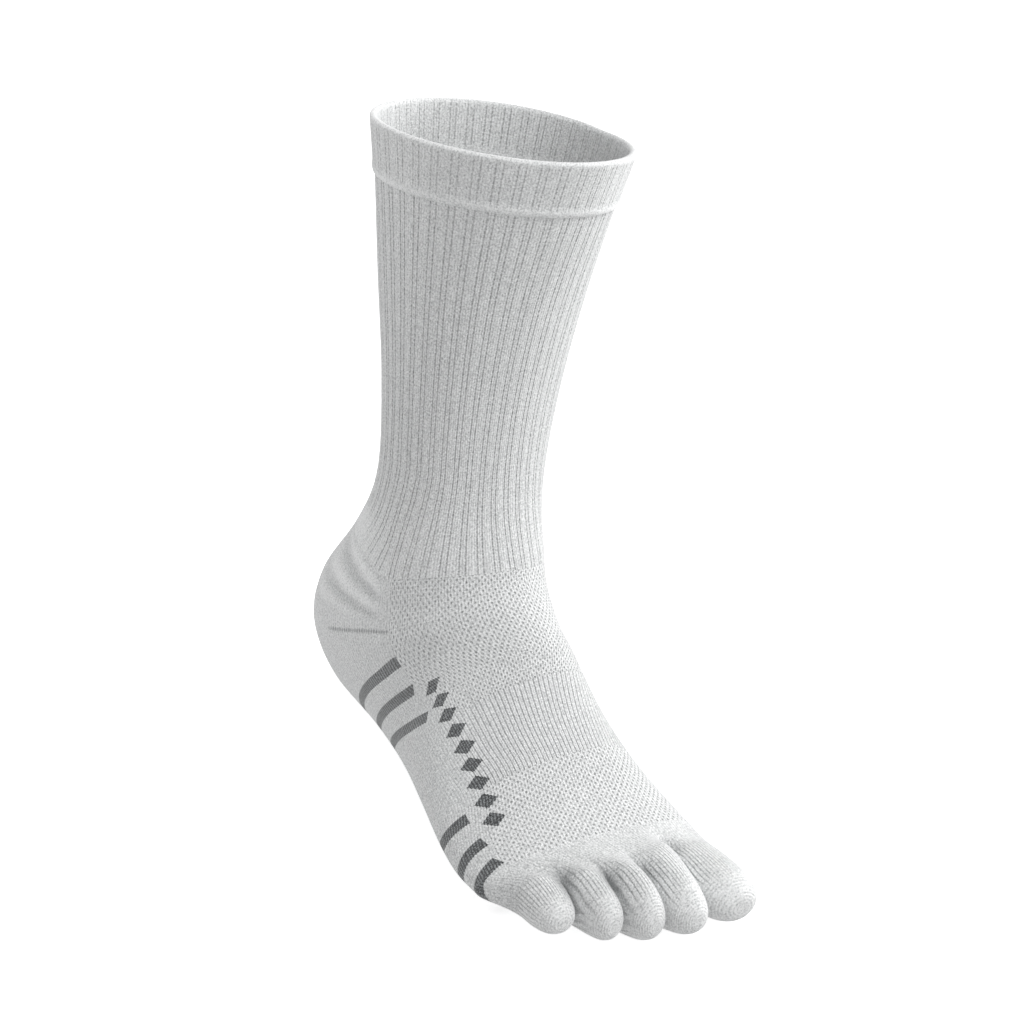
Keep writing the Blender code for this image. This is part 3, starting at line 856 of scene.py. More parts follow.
        # Paler flecks where the speckle is high, and painted highlight on the loops' tops
        fleck_level = add("Math", MULTIPLY_ADD, (noise, self.fleck_weight, height))[0]
        fleck = add("MapRange", SMOOTH_STEP, (fleck_level, *self.fleck_edge, 0.0, 1.0))[0]
        yarns = {6: linear_colour(self.dark_yarn), 7: linear_colour(self.dark_fleck)}
        dark = add("Mix", COLOURS, {0: fleck} | yarns)[2]
        return add("Mix", COLOURS, {0: mask, 6: colour, 7: dark})[2]


@dataclass(frozen=True)
class OpalAcrylicTable:
    """Frosted white acrylic of a photo studio's table, lit a little from below.

    It has no gloss and takes only a faint shadow.
    """

    label: str = "frosted_opal_acrylic"
    pale: str = "#F7F7F7"
    grain: str = "#F3F3F3"
    roughness: float = 0.95
    glow: float = 0.66
    grain_scale: float = 40.0

    def material(self) -> bpy.types.Material:
        """Builds the table's node material.

        Returns:
            The new material.
        """
        item, shader = new_material(self.label, {
            "Roughness": self.roughness,
            "Emission Color": linear_colour(self.pale),
            "Emission Strength": self.glow,
        })
        tree = item.node_tree
        noise = add_node(tree, "TexNoise", {}, {"Scale": self.grain_scale, "Detail": 3.0})[0]
        colours = {6: linear_colour(self.pale), 7: linear_colour(self.grain)}
        tree.links.new(add_node(tree, "Mix", COLOURS, {0: noise} | colours)[2], shader.inputs["Base Color"])
        return item


@dataclass
class KnitPiece:
    """A visible piece of cloth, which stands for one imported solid."""

    form: SockForm
    piece: str
    node: str
    slot: str
    finish: CombedCottonKnit
    _: KW_ONLY
    course: float = 0.9 * MM
    wall: float = 2.0 * MM
    gap: float = 0.02 * MM
    row_step: int = 4
    column_step: int = 4

    def stitches(self, wales: Array, lengths: Array) -> tuple[Array, Array]:
        """Number of the wale and of the course at each point of a grid.

        Args:
            wales: The wale of each column.
            lengths: How far along the cloth each row lies.

        Returns:
            The wales and the courses.
        """
        wale, course = np.meshgrid(wales, lengths / self.course)
        return wale, course

    def cloth(self) -> Cloth:
        """The piece's cloth wall."""
        raise NotImplementedError

    def make(self) -> bpy.types.Object:
        """Builds the piece, dresses it and puts it in the place of its solid.

        Returns:
            The piece.
        """
        item = self.cloth().as_object(self.piece)
        item.data.materials.append(self.finish.material())
        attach(item, "root")
        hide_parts(self.node)
        return item


@dataclass
class Zone(KnitPiece):
    """A knit zone of the shared surface, as a cloth wall with its own relief."""

    first: str
    last: str
    marks: SideMarks
    wales: int
    columns_per_wale: int = 4
    row_height: float = 1.0 * MM
    middle_turn: float = 0.0
    closed: bool = False
    wale_swell: float = 0.05 * MM
    length_samples: int = 200

    def turns(self, place: float, count: int) -> Array:
        """Ways round of one row's columns."""
        raise NotImplementedError

    def relief(self, wale: Array, course: Array, place: Array, turn: Array) -> Array:
        """How far the knitting stands out of the shared surface, in metres."""
        return self.wale_swell * np.cos(2 * pi * (wale - 0.5))

    def shades(self, place: Array, turn: Array, points: Array) -> Array:
        """Strength of the pattern, and how much darker the colour is drawn, painted shade and highlight
        included, as the last axis.
        """
        return np.stack((np.ones_like(place), np.zeros_like(place)), axis=-1)

    def rows(self) -> Array:
        """Row positions of the mesh rows, which lie evenly along the cloth.

        Returns:
            The row positions.
        """
        first, last = ROW[self.first], ROW[self.last]
        dense = np.linspace(first, last, self.length_samples)
        length = arc_lengths(self.form.surface(dense, np.full_like(dense, self.middle_turn)))[-1]
        steps = int(np.ceil(length / self.row_height / self.row_step)) * self.row_step
        return self.form.even_places(first, last, self.middle_turn, steps)

    def cloth(self) -> Cloth:
        """Lays the zone's cloth over the shared surface.

        Returns:
            The cloth wall.
        """
        places = self.rows()
        count = self.wales * self.columns_per_wale
        turns = np.array([self.turns(place, count) for place in places])
        place = np.repeat(places[:, None], count + 1, axis=1)
        points = self.form.surface(place, turns)
        outwards = self.form.outwards(place, turns)
        lengths = arc_lengths(points[:, count // 2])
        wale, course = self.stitches(np.linspace(0, self.wales, count + 1), lengths)
        maps = {"stitches": np.stack((wale, course), axis=-1), "shades": self.shades(place, turns, points)}
        if self.finish.marked:
            maps.update(self.marks.maps(points, outwards))
        outer = points + outwards * self.relief(wale, course, place, turns)[..., None]
        return self.finished(outer, points - outwards * self.wall, maps)

    def finished(self, outer: Array, inner: Array, maps: dict[str, Array]) -> Cloth:
        """Trims the grids to a wall.

        Args:
            outer: Outer points, with the seam's column twice where the rows are closed.
            inner: Inner points, in the same layout.
            maps: The maps of the outer points.

        Returns:
            The cloth wall.
        """
        if self.closed:
            outer, inner = outer[:, :-1], inner[:, :-1]
        outer, inner = (pulled_in(grid, self.closed, self.gap) for grid in (outer, inner))
        thin = inner[::self.row_step, ::self.column_step]
        return Cloth(outer, thin, self.closed, maps, self.row_step, self.column_step)


@dataclass
class RibbedTube(Zone):
    """A closed tube of broad ribs between pairs of narrow furrows."""

    furrow_depth: float = 0.15 * MM
    rib_swell: float = 0.07 * MM
    wale_swell: float = 0.04 * MM
    furrow_half: float = 0.32
    # The ribs' sweep towards the heel: how far, from which row and over how many
    sweep: float = 0.32
    sweep_from: float = 3.6
    sweep_rows: float = 1.6
    # Where the ribs run out above the heel: from which row, over how many, and over how
    # many quarter turns at the sides
    plain_from: float = 4.35
    plain_rows: float = 0.3
    plain_turns: float = 0.5

    def turns(self, place: float, count: int) -> Array:
        """Ways round of one row's columns, which sweep back towards the heel low down.

        Args:
            place: Row position of the row.
            count: Number of columns.

        Returns:
            The ways round, one more than the columns.
        """
        turn = np.linspace(0, 4, count + 1)
        side = np.sin(pi / 2 * turn)
        return turn + self.sweep * smooth((place - self.sweep_from) / self.sweep_rows) * side * np.abs(side)

    def ribbed(self, place: Array, turn: Array) -> Array:
        """How strong the ribs are: they run out above the heel.

        Args:
            place: Row positions.
            turn: Ways round.

        Returns:
            The strength, from 0 to 1.
        """
        behind = smooth((turn - 1.0) / self.plain_turns) * smooth((3.0 - turn) / self.plain_turns)
        return 1 - behind * smooth((place - self.plain_from) / self.plain_rows)

    def shades(self, place: Array, turn: Array, points: Array) -> Array:
        """Ribs that run out above the heel."""
        ribbed = self.ribbed(place, turn)
        return np.stack((ribbed, np.zeros_like(ribbed)), axis=-1)

    def relief(self, wale: Array, course: Array, place: Array, turn: Array) -> Array:
        """Broad ribs between pairs of furrows.

        Args:
            wale: Number of the wale.
            course: Number of the course; not used.
            place: Row positions.
            turn: Ways round.

        Returns:
            How far they stand out of the shared surface, in metres.
        """
        past_pair = wale - FURROW_APART
        near = np.minimum(*(to_middle(way / WALES_PER_RIB) * WALES_PER_RIB for way in (wale, past_pair)))
        along_rib = (past_pair % WALES_PER_RIB) / (WALES_PER_RIB - FURROW_APART)
        swell = np.where(along_rib < 1, np.sin(pi * np.minimum(along_rib, 1)), 0) * self.rib_swell
        fine = super().relief(wale, course, place, turn)
        return (swell + fine - self.furrow_depth * bell(near / self.furrow_half)) * self.ribbed(place, turn)


@dataclass
class Cuff(RibbedTube):
    """Doubled band round the top opening, with a rounded rim and a soft lower ridge."""

    proud: float = 0.7 * MM
    rim_radius: float = 1.3 * MM
    lower_radius: float = 0.9 * MM
    ridge: float = 0.35 * MM
    ridge_half: float = 1.3 * MM
    ridge_up: float = 2.2 * MM
    # How much of the leg's relief the band has, and where it fades: how far from the lower
    # edge and from the rim it starts, and over which lengths
    relief_share: float = 0.30
    lower_plain: float = 1.5 * MM
    lower_fade: float = 3.0 * MM
    rim_plain: float = 0.5 * MM
    rim_fade: float = 2.0 * MM
    # Painted highlight on the ridge, and more of it along the rim
    painted_highlight: float = 0.10
    rim_highlight_width: float = 0.7 * MM
    rim_highlight_gain: float = 1.3
    row_count: int = 40

    def cloth(self) -> Cloth:
        """Lays the band round the top, with its profile.

        Returns:
            The cloth wall.
        """
        count = self.wales * self.columns_per_wale
        ends = np.sin(np.linspace(-pi / 2, pi / 2, self.row_count + 1))
        places = ROW[self.first] + (ROW[self.last] - ROW[self.first]) * (ends + 1) / 2
        turns = np.repeat(self.turns(0.0, count)[None], len(places), axis=0)
        place = np.repeat(places[:, None], count + 1, axis=1)
        points = self.form.surface(place, turns)
        outwards = self.form.outwards(place, turns)
        from_top = arc_lengths(points[:, 0])
        to_end = from_top[-1] - from_top
        wale, course = self.stitches(np.linspace(0, self.wales, count + 1), from_top)
        on_ridge = bell((to_end - self.ridge_up) / self.ridge_half)
        rim = rounding(from_top, self.rim_radius)
        outer_off = self.proud + self.ridge * on_ridge - rim - rounding(to_end, self.lower_radius)
        inner_off = self.proud - self.wall + rim
        fade = smooth((to_end - self.lower_plain) / self.lower_fade)
        fade = fade * smooth((from_top - self.rim_plain) / self.rim_fade)
        faint = self.relief(wale, course, place, turns) * self.relief_share * fade[:, None]
        outer = points + outwards * (outer_off[:, None] + faint)[..., None]
        inner = points + outwards * (inner_off[:, None] - faint)[..., None]
        # Painted highlight on the raised ridge and on the rounded rim, drawn as paler colour
        highlight = self.painted_highlight * np.maximum(on_ridge, self.rim_highlight_gain * bell(from_top / self.rim_highlight_width))
        shades = np.stack(np.broadcast_arrays(fade[:, None], -highlight[:, None], place)[:2], axis=-1)
        return self.finished(outer, inner, {"stitches": np.stack((wale, course), axis=-1), "shades": shades})


def rounding(distance: Array, radius: float) -> Array:
    """How far a rounded edge falls back at a distance from the edge."""
    inside = np.clip(radius - distance, 0, radius)
    return radius - np.sqrt(radius * radius - inside * inside)


@dataclass
class UnderZone(Zone):
    """A zone that runs under the foot, from knit border to knit border."""

    def turns(self, place: float, count: int) -> Array:
        """Ways round from the lateral border under the foot to the medial border.

        Args:
            place: Row position of the row.
            count: Number of columns.

        Returns:
            The ways round, one more than the columns.
        """
        border = float(self.form.border(np.array(place)))
        return self.form.even_turns(place, border, 4 - border, count)


@dataclass
class Heel(UnderZone):
    """The padded heel, with soft bands that fan out from the ankle's side and a seam."""

    pad_swell: float = 0.50 * MM
    pad_rows: float = 0.62
    pads_start: float = 5.32
    pad_slope: float = 0.7
    pad_shade: float = 0.22
    # The pads' fan: turns beside the ankle's side over which they rise, after which they
    # fall, and over which they fall
    fan_rise: float = 0.10
    fan_hold: float = 0.35
    fan_fall: float = 0.35
    # Rows over which they start, after which they end, and over which they end
    start_rows: float = 0.15
    end_from: float = 6.1
    end_rows: float = 0.5
    stitch_pitch: float = 1.9 * MM
    stitch_half: float = 0.55 * MM
    stitch_shade: float = 1.6
    # The heel's furrows are fainter above this row, by this share
    faint_above: float = 6.6
    faint_by: float = 0.7

    def pads(self, place: Array, turn: Array) -> Array:
        """How far the padded bands swell, from -1 to 1.

        Args:
            place: Row positions.
            turn: Ways round.

        Returns:
            The swell at each point.
        """
        beside = np.minimum(np.abs(turn - 1.0), np.abs(turn - 3.0))
        wave = np.cos(2 * pi * (place + self.pad_slope * beside - self.pads_start) / self.pad_rows)
        fan = smooth(beside / self.fan_rise) * (1 - smooth((beside - self.fan_hold) / self.fan_fall))
        started = smooth((place - ROW["ankle"]) / self.start_rows)
        return wave * fan * started * (1 - smooth((place - self.end_from) / self.end_rows))

    def relief(self, wale: Array, course: Array, place: Array, turn: Array) -> Array:
        """The padded bands under the plain knit."""
        return super().relief(wale, course, place, turn) + self.pad_swell * self.pads(place, turn)

    def shades(self, place: Array, turn: Array, points: Array) -> Array:
        """The bands' soft shade and the dark stitches of the seam.

        Args:
            place: Row positions.
            turn: Ways round.
            points: The points of the shared surface.

        Returns:
            Strength of the furrows, and how much darker the colour is drawn: the bands' painted shade and the
            seam's dark stitches, as the last axis.
        """
        off, length = self.marks.nearest(points, SEAM_LINE)
        dashes = smooth(0.5 + 0.5 * np.cos(2 * pi * length / self.stitch_pitch))
        seam = self.stitch_shade * bell(off / self.stitch_half) * dashes
        strength = 1 - self.faint_by * smooth(self.faint_above - place)
        return np.stack((strength, seam - self.pad_shade * self.pads(place, turn)), axis=-1)


@dataclass
class UpperZone(Zone):
    """A zone over the top of the foot, from knit border to knit border."""

    furrow_depth: float = 0.11 * MM
    eyelet_depth: float = 0.24 * MM
    # Where an eyelet's dent starts, and how narrow the close ribs' furrows are
    eyelet_edge: float = 0.2
    furrow_power: float = 1.5

    def turns(self, place: float, count: int) -> Array:
        """Ways round from the medial border over the top to the lateral border.

        Args:
            place: Row position of the row.
            count: Number of columns.

        Returns:
            The ways round, one more than the columns.
        """
        border = float(self.form.border(np.array(place)))
        return self.form.even_turns(place, -border, border, count)

    def relief(self, wale: Array, course: Array, place: Array, turn: Array) -> Array:
        """Eyelets or close ribs.

        Args:
            wale: Number of the wale.
            course: Number of the course.
            place: Row positions; not used.
            turn: Ways round; not used.

        Returns:
            How far they stand out of the shared surface, in metres.
        """
        if self.finish.pattern is KnitPattern.EYELETS:
            lattice = np.cos(pi * wale) * np.cos(2 * pi / EYELET_COURSES * course)
            return -self.eyelet_depth * smooth((lattice - self.eyelet_edge) / (1 - self.eyelet_edge))
        return -self.furrow_depth * (1 - np.abs(np.sin(pi / 2 * wale))) ** self.furrow_power


@dataclass
class WebDents:
    """The soft dents in the cloth where two toes meet on top, with painted shade in them."""

    form: SockForm
    depth: float = 2.6 * MM
    reach: float = 4.6 * MM
    # How far back the cloth moves, as a share of how far down
    drawn_back: float = 0.3
    # Reach and strength of the painted shade in the dents
    shade_reach: float = 5.2 * MM
    shade: float = 0.40
    webs: list[Array] = field(default_factory=list)

    def moved(self, points: Array) -> Array:
        """Pulls the cloth down round each web.

        Args:
            points: Points with x, y and z as the last axis.

        Returns:
            The moved points.
        """
        result = points.copy()
        for web in self.webs:
            pull = bell(np.linalg.norm(points - web, axis=-1) / self.reach)
            result[..., 2] -= self.depth * pull
            result[..., 1] += self.drawn_back * self.depth * pull
        return result

    def shaded(self, points: Array) -> Array:
        """Painted shade in the dents, in the creases between the toes where shade falls."""
        offs = (np.linalg.norm(points - web, axis=-1) for web in self.webs)
        return sum(self.shade * bell(off / self.shade_reach) for off in offs)


@dataclass
class Toe(KnitPiece):
    """One toe: a closed-ended tube from its root section to its tip."""

    dents: WebDents
    index: int
    quarter: int = 20
    wall_steps: int = 10
    length_steps: int = 120
    valley_depth: float = 0.19
    edge_depth: float = 0.5
    rounded_by: float = 0.6
    bluntness: float = 3.0
    arching: float = 1.7
    # How the loops crowd towards the tip, and where the last one lies
    crowding: float = 0.9
    last_share: float = 0.99995
    # Shares of the length: where the tip's rounds start, over which they grow, and where
    # their relief ends
    rounds_from: float = 0.45
    rounds_over: float = 0.4
    rounds_until: float = 0.99
    round_pitch: float = 1.25 * MM
    round_height: float = 0.09 * MM
    round_shade: float = 0.14
    # Strength of the furrows at the root, and how much less it is at the tip
    strength: float = 2.2
    weaker_by: float = 2.0
    loop_wales: Array = field(init=False)
    _: KW_ONLY
    column_step: int = 2

    def __post_init__(self) -> None:
        """Works out the toe's own sizes in metres."""
        shape = TOES[self.node]
        height, wall = self.form.toe_height, self.form.wall
        self.lines = (TOE_LINES[self.index], TOE_LINES[self.index + 1])
        self.valleys = (self._valley(self.index), self._valley(self.index + 1))
        self.top, self.bottom = (shape[key] * height - wall for key in ("top", "bottom"))
        self.tip_y = self.form.foot_y(shape["tip_y"])
        self.tip_z = shape["tip_z"] * height - wall
        self.tip_half = shape["tip_half"] * height

    def _valley(self, line: int) -> tuple[float, float]:
        """Heights of the lower and the upper valley at the root of a toe line.

        Args:
            line: Index into TOE_LINES.

        Returns:
            The lower and the upper z.
        """
        shapes = list(TOES.values())
        beside = shapes[max(line - 1, 0):line + 1]
        top, bottom = (sum(shape[key] for shape in beside) / len(beside) for key in ("top", "bottom"))
        depth = self.valley_depth if 0 < line < len(TOES) else self.edge_depth
        shares = (bottom + (top - bottom) * share for share in (depth, 1 - depth))
        return tuple(share * self.form.toe_height - self.form.wall for share in shares)

    def line_x(self, side: int, y: float) -> float:
        """X of the line on one side of the toe.

        Args:
            side: 0 for the lateral side, 1 for the medial side.
            y: Where to read it.

        Returns:
            The line's x.
        """
        line = self.lines[side]
        root_y, front_y = self.form.foot_y(line["root_y"]), self.form.foot_y(1.0)
        share = (root_y - y) / (root_y - front_y)
        return (line["root_x"] + (line["front_x"] - line["root_x"]) * share) * self.form.ball_width

    def section(self, share: float, inset: float = 0.0) -> Array:
        """One loop of the toe.

        Args:
            share: Way from the root (0) to the tip (1).
            inset: How far the loop lies inside the toe's full outline.

        Returns:
            The loop's points: over the top from the lateral to the medial side, then
            down the medial wall, back under the toe and up the lateral wall.
        """
        roots = [self.form.foot_y(line["root_y"]) for line in self.lines]
        middle_y = sum(roots) / 2
        centre_y = middle_y + (self.tip_y + inset - middle_y) * share
        slant = (roots[1] - roots[0]) / 2 * (1 - share)
        closing = max(1 - share ** self.bluntness, 0.0) ** (1 / self.bluntness)
        left, right = self.line_x(0, centre_y - slant), self.line_x(1, centre_y + slant)
        half_x = max((right - left) / 2 - inset, 0.0) * closing
        root_half, root_z = (self.top - self.bottom) / 2, (self.top + self.bottom) / 2
        bend = share ** self.arching
        centre_z = root_z + (self.tip_z - root_z) * bend
        full_z = root_half + (self.tip_half - root_half) * bend
        half_z = max(full_z - inset, 0.0) * closing
        keep = 1 - float(smooth(share / self.rounded_by))
        edges = [[(z - root_z) / root_half * keep for z in pair] for pair in self.valleys]
        loop = np.array(self._loop_shape(edges))
        across = loop[:, 0] * half_x * 2 / (right - left)
        return np.stack((
            (left + right) / 2 + loop[:, 0] * half_x,
            centre_y + slant * across,
            centre_z + loop[:, 1] * half_z,
        ), axis=-1)

    def _loop_shape(self, edges: list[list[float]]) -> list[tuple[float, float]]:
        """Unit loop of a toe section as pairs of x and z from -1 to 1.

        Args:
            edges: Lower and upper end of the straight wall on the lateral and on the
                medial side, from -1 to 1.

        Returns:
            The loop's pairs.
        """
        quarter = [k * pi / 2 / self.quarter for k in range(self.quarter + 1)]
        (lateral_low, lateral_high), (medial_low, medial_high) = edges
        over = [(-cos(a), lateral_high + (1 - lateral_high) * sin(a)) for a in quarter[:-1]]
        over += [(cos(a), medial_high + (1 - medial_high) * sin(a)) for a in reversed(quarter)]
        under = [(cos(a), medial_low - (1 + medial_low) * sin(a)) for a in quarter[:-1]]
        under += [(-cos(a), lateral_low - (1 + lateral_low) * sin(a)) for a in reversed(quarter)]
        shares = [(k + 1) / (self.wall_steps + 1) for k in range(self.wall_steps)]
        down = [(1.0, medial_high + (medial_low - medial_high) * share) for share in shares]
        up = [(-1.0, lateral_low + (lateral_high - lateral_low) * share) for share in shares]
        return over + down + under + up

    def cloth(self) -> Cloth:
        """Lays the toe's knitting from its root to its tip.

        Returns:
            The cloth wall.
        """
        shares = np.sin(np.linspace(0, pi / 2, self.length_steps + 1)) ** self.crowding
        shares[-1] = self.last_share
        outer, inner = (
            np.array([self.section(share, self.gap / 2 + depth) for share in shares])
            for depth in (0.0, self.wall)
        )
        for grid in (outer, inner):
            grid[0, :, 1] -= self.gap / 2
        lengths = arc_lengths(outer[:, self.quarter])
        wale, course = self.stitches(self.loop_wales[::-1], lengths)
        outer, inner = other_way(outer), other_way(inner)
        around = np.concatenate((outer, outer[:, :1]), axis=1)
        at_tip = smooth((shares - self.rounds_from) / self.rounds_over)
        strength = (self.strength - at_tip * self.weaker_by)[:, None]
        rounds = at_tip * np.cos(2 * pi * lengths / self.round_pitch)
        # Painted shade in the dents between the toes, and painted shade and light across the tip's rounds
        darker = self.dents.shaded(around) - self.round_shade * rounds[:, None]
        maps = {
            "stitches": np.stack((wale, course), axis=-1),
            "shades": np.stack(np.broadcast_arrays(strength, darker), axis=-1),
        }
        lift = self.round_height * rounds * (shares < self.rounds_until)
        outer = outer + grid_normals(outer, True) * lift[:, None, None]
        thin = self.dents.moved(inner[::self.row_step, ::self.column_step])
        return Cloth(self.dents.moved(outer), thin, True, maps, self.row_step, self.column_step, True)


@dataclass
class ToeBox(KnitPiece):
    """Plain band from the ball of the foot to the roots of the toes."""

    marks: SideMarks
    dents: WebDents
    toes: list[Toe]
    turn: Array = field(init=False)
    roots: Array = field(init=False)
    end_way: Array = field(init=False)
    ring_wales: Array = field(init=False)
    steps: int = 24
    wales: int = 150
    side_wales: float = 6.0
    evening: int = 260
    edge_reach: float = 12.0 * MM
    valleys_from: float = 0.35
    look_ahead: float = 0.06
    start_pull: float = 0.45
    end_pull: float = 0.9
    # Strength of the furrows at the start, and how much more it is at the toes
    strength: float = 0.7
    stronger_by: float = 1.1
    _: KW_ONLY
    column_step: int = 2

    def __post_init__(self) -> None:
        """Works out the ring of the toes' roots and hands the wales on to the toes."""
        self.roots, self.end_way, on_top = self.round_the_toes(0.0)
        arc = 2 * self.toes[0].quarter
        self.dents.webs = [self.roots[k * arc] for k in range(1, len(self.toes))]
        row = self.form.sections[ROW["box"]]
        edges = [row[COLUMNS.index(name)] for name in ("lateral_x", "medial_x")]
        lateral, medial = (TOE_LINES[end]["root_x"] * self.form.ball_width for end in (0, -1))
        self.turn = np.array([
            self.turn_at_x(edges[0] + (x - lateral) / (medial - lateral) * (edges[1] - edges[0]), k < on_top)
            for k, x in enumerate(self.roots[:, 0])
        ])
        starts = self.form.surface(np.full_like(self.turn, float(ROW["box"])), self.turn)
        round_box = arc_lengths(np.concatenate((starts, starts[:1])))
        self.ring_wales = round_box / round_box[-1] * self.wales
        for k, toe in enumerate(self.toes):
            arc, wall = 2 * toe.quarter, toe.wall_steps
            over = self.ring_wales[k * arc:(k + 1) * arc + 1]
            last = len(self.roots) - k * arc
            under = self.ring_wales[last - arc:last + 1][::-1]
            more = self.side_wales
            starts = (over[-1], over[0] - more)
            sides = [np.linspace(start, start + more, wall + 2)[1:-1] for start in starts]
            toe.loop_wales = np.concatenate((over, sides[0], -under[::-1], sides[1], over[:1]))

    def turn_at_x(self, x: float, over: bool) -> float:
        """Way round the box section above or below a given x.

        Args:
            x: Where to read it.
            over: Whether to read the top instead of the bottom.

        Returns:
            The way round, from 0 to 4.
        """
        part = dict(zip(COLUMNS, self.form.sections[ROW["box"]]))
        end = "front" if over else "back"
        middle = part[end + "_x"]
        side = "lateral" if x < middle else "medial"
        share = min(max((x - middle) / (part[side + "_x"] - middle), 0.0), 1.0)
        from_end = asin(share ** (part[end + "_n"] / 2)) * 2 / pi
        if over:
            return from_end if side == "lateral" else (4 - from_end) % 4
        return 2 - from_end if side == "lateral" else 2 + from_end

    def round_the_toes(self, inset: float) -> tuple[Array, Array, int]:
        """Points of the toes' roots over the top and back underneath, as one ring.

        Args:
            inset: How far the ring lies inside the toes' outlines.

        Returns:
            The points, the directions in which the toes go on from them, and the
            number of points on top.
        """
        over, under = [], []
        for toe in self.toes:
            root = toe.section(0.0, inset)
            way = toe.section(self.look_ahead, inset) - root
            both = np.stack((root, way / np.linalg.norm(way, axis=1, keepdims=True)), axis=1)
            count = 2 * toe.quarter + 1
            below = both[count + toe.wall_steps:2 * count + toe.wall_steps][::-1]
            for ring, arc in ((over, both[:count]), (under, below)):
                arc = list(arc.copy())
                if ring:
                    arc[0] = (ring.pop() + arc[0]) / 2
                    arc[0][0, 1] = self.form.foot_y(toe.lines[0]["root_y"])
                ring.extend(arc)
        both = np.array(over + under[-2:0:-1])
        return both[:, 0], both[:, 1], len(over)

    def even_roots(self) -> Array:
        """The ring of the roots without its valleys, for the cloth further back.

        Returns:
            The ring's points.
        """
        even = self.roots.copy()
        for _ in range(self.evening):
            even = (np.roll(even, 1, axis=0) + 2 * even + np.roll(even, -1, axis=0)) / 4
        x = self.roots[:, :1]
        inside = smooth(np.minimum(x - x.min(), x.max() - x) / self.edge_reach)
        return self.roots + (even - self.roots) * inside

    def cloth(self) -> Cloth:
        """Lays the band from the box section to the roots of the toes.

        Returns:
            The cloth wall.
        """
        turn = self.turn
        place = np.full_like(turn, float(ROW["box"]))
        starts = self.form.surface(place, turn)
        way = starts - self.form.surface(place - self.form.frame_step, turn)
        way /= np.linalg.norm(way, axis=1, keepdims=True)
        t = np.linspace(0, 1, self.steps + 1)[:, None, None]
        still_even = 1 - smooth((t - self.valleys_from) / (1 - self.valleys_from))
        roots = self.roots + (self.even_roots() - self.roots) * still_even
        reach = np.linalg.norm(self.roots - starts, axis=1, keepdims=True)
        outer = (
            (2 * t ** 3 - 3 * t ** 2 + 1) * starts
            + (t ** 3 - 2 * t ** 2 + t) * reach * way * self.start_pull
            + (3 * t ** 2 - 2 * t ** 3) * roots
            + (t ** 3 - t ** 2) * reach * self.end_way * self.end_pull
        )
        outwards = -grid_normals(outer, True)
        outwards[0] = self.form.outwards(place, turn)
        inner = outer - outwards * self.wall
        inner[-1] = self.round_the_toes(self.wall)[0]
        lengths = arc_lengths(outer[:, 2 * self.toes[0].quarter])
        wale, course = self.stitches(self.ring_wales[::-1], lengths)
        outer, inner = (other_way(pulled_in(grid, True, self.gap)) for grid in (outer, inner))
        around = np.concatenate((outer, outer[:, :1]), axis=1)
        strength = self.strength + self.stronger_by * t[:, 0] ** 3
        # The shades map carries the painted shade of the dents between the toes
        maps = {
            "stitches": np.stack((wale, course), axis=-1),
            "shades": np.stack(np.broadcast_arrays(strength, self.dents.shaded(around)), axis=-1),
        }
        maps.update(self.marks.maps(around, grid_normals(around, False)))
        thin = self.dents.moved(inner[::self.row_step, ::self.column_step])
        return Cloth(self.dents.moved(outer), thin, True, maps, self.row_step, self.column_step)


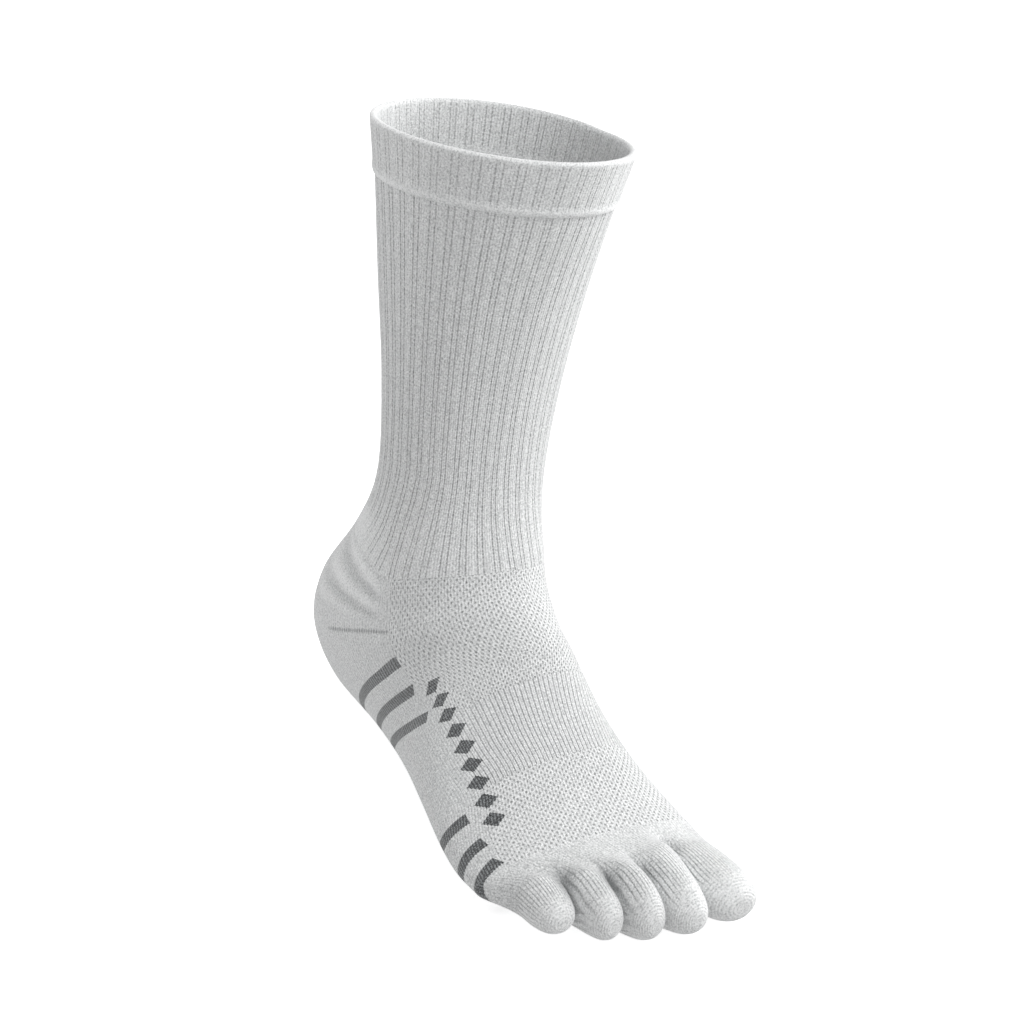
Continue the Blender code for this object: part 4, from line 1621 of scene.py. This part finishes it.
@dataclass
class Studio:
    """Pale floor, soft lights and the camera."""

    azimuth: float = -37.86
    elevation: float = 22.04
    roll: float = 9.16
    distance: float = 0.9291
    lens: float = 86.28
    target: tuple[float, float, float] = (-0.00095, -0.07743, 0.11383)
    sky: float = 0.56
    floor_half: float = 12.0
    softbox_side: float = 1.0

    def __post_init__(self) -> None:
        """Works out the camera's directions."""
        a, e, r = radians(self.azimuth), radians(self.elevation), radians(self.roll)
        back = Vector((sin(a) * cos(e), -cos(a) * cos(e), sin(e)))
        right = Vector((cos(a), sin(a), 0.0))
        up = back.cross(right)
        self.right = right * cos(r) + up * sin(r)
        self.up = up * cos(r) - right * sin(r)
        self.back = back

    def place_camera(self) -> None:
        """Puts the camera at the photograph's viewing angle."""
        lens = bpy.data.cameras.new("studio_camera")
        lens.lens = self.lens
        lens.sensor_width = 36.0
        lens.clip_end = 50.0
        item = bpy.data.objects.new("studio_camera", lens)
        bpy.context.scene.collection.objects.link(item)
        turn = Matrix((self.right, self.up, self.back)).transposed().to_4x4()
        item.matrix_world = Matrix.Translation(Vector(self.target) + self.back * self.distance) @ turn
        bpy.context.scene.camera = item

    def add_light(self, name: str, way: tuple[float, float, float], power: float) -> None:
        """Adds a soft square light that faces the sock.

        Args:
            name: Name of the light.
            way: Its place from the target: to the camera's right, up, and back.
            power: Power in watts.
        """
        light = bpy.data.lights.new(name, "AREA")
        light.size = self.softbox_side
        light.energy = power
        item = bpy.data.objects.new(name, light)
        bpy.context.scene.collection.objects.link(item)
        offset = self.right * way[0] + Vector((0, 0, 1)) * way[1] + self.back * way[2]
        item.location = Vector(self.target) + offset
        item.rotation_euler = offset.to_track_quat("Z", "Y").to_euler()

    def build(self, floor_z: float) -> None:
        """Adds the floor, the sky, the lights and the camera.

        Args:
            floor_z: Height of the floor.
        """
        scene = bpy.context.scene
        scene.view_settings.view_transform = "Standard"
        world = bpy.data.worlds.new("soft_white_room")
        world.use_nodes = True
        sky = world.node_tree.nodes["Background"].inputs
        sky[0].default_value = (1.0, 1.0, 1.0, 1.0)
        sky[1].default_value = self.sky
        scene.world = world
        half = self.floor_half
        data = bpy.data.meshes.new("studio_floor")
        corners = ((-half, -half), (half, -half), (half, half), (-half, half))
        data.from_pydata([(x, y, floor_z) for x, y in corners], [], [(0, 1, 2, 3)])
        floor = bpy.data.objects.new("studio_floor", data)
        scene.collection.objects.link(floor)
        data.materials.append(OpalAcrylicTable().material())
        # The table's glow is seen but throws no light back, as in a picture cut out on white
        floor.visible_diffuse = False
        floor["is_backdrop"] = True
        for name, way, power in (
            ("key_softbox", (1.4, 1.9, 0.7), 34.0),
            ("side_softbox", (1.6, 0.8, -1.2), 31.0),
            ("edge_softbox", (-1.8, 0.35, -0.8), 22.0),
            ("front_softbox", (0.9, 0.1, 1.5), 4.5),
        ):
            self.add_light(name, way, power)
        self.place_camera()


def main() -> None:
    """Builds the sock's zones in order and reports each."""
    logging.basicConfig(level=logging.INFO, format="%(message)s")
    log = logging.getLogger("toe_sock")
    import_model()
    solid_box = [list(corner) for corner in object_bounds()]
    form = SockForm()
    marks = SideMarks(form)
    dents = WebDents(form)
    jersey = CombedCottonKnit("combed_cotton_jersey", stitch_shade=0.26, base_shade=0.20)
    ribs = CombedCottonKnit("combed_cotton_rib", KnitPattern.RIB_PAIRS, pattern_shade=0.28)
    band = CombedCottonKnit("combed_cotton_doubled_band", KnitPattern.RIB_PAIRS, pattern_shade=0.22)
    mesh = CombedCottonKnit("combed_cotton_mesh", KnitPattern.EYELETS, pattern_shade=0.32, marked=True)
    arch = CombedCottonKnit("combed_cotton_arch_rib", KnitPattern.ARCH_RIB, pattern_shade=0.18, marked=True)
    # Drawn darker all over than the toes' knit: partly its own tone with more visible stitches, partly
    # painted shade for the heel's and sole's sides turned from the light
    plated = CombedCottonKnit("combed_cotton_plated_marks", base_shade=0.36, marked=True)
    zones = [
        Cuff(
            form, "cuff_knit", "cuff", "cuff_knit", band, "cuff_top", "cuff_low", marks, 240,
            closed=True, column_step=3, wall=3.0 * MM,
        ),
        RibbedTube(
            form, "leg_knit", "leg", "leg_rib", ribs, "cuff_low", "ankle", marks, 240,
            row_height=1.7 * MM, closed=True, column_step=5,
        ),
        Heel(
            form, "heel_padded_knit", "heel", "heel_knit", plated, "ankle", "heel_end", marks, 96,
            row_height=0.8 * MM, middle_turn=2.0,
        ),
        UpperZone(
            form, "instep_mesh_knit", "instep_mesh", "mesh_knit", mesh, "ankle", "arch_back", marks, 84, 3,
            row_height=0.42 * MM, course=2.5 / 3 * MM, middle_turn=0.45,
        ),
        UpperZone(
            form, "arch_band_knit", "arch_band", "arch_rib", arch, "arch_back", "arch_front", marks, 84, 5,
            row_height=0.8 * MM, middle_turn=0.3, column_step=5,
        ),
        UpperZone(
            form, "forefoot_mesh_knit", "forefoot_mesh", "mesh_knit", mesh, "arch_front", "box", marks, 60, 3,
            row_height=0.42 * MM, course=2.5 / 3 * MM, middle_turn=0.3,
        ),
        UnderZone(
            form, "sole_knit_zone", "sole", "sole_knit", plated, "heel_end", "box", marks, 112, 5,
            row_height=1.2 * MM, middle_turn=1.6, column_step=5,
        ),
    ]
    toes = [
        Toe(form, name + "_knit", name, "toe_knit", jersey, dents, index)
        for index, name in enumerate(TOES)
    ]
    toe_box = ToeBox(form, "toe_box_knit", "toe_box", "toe_knit", plated, marks, dents, toes)
    for part in [*zones, toe_box, *toes]:
        item = part.make()
        log.info("%s: %d faces", item.name, len(item.data.polygons))
    low = min(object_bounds()[0][2], solid_box[0][2])
    Studio().build(low)


if __name__ == "__main__":
    main()
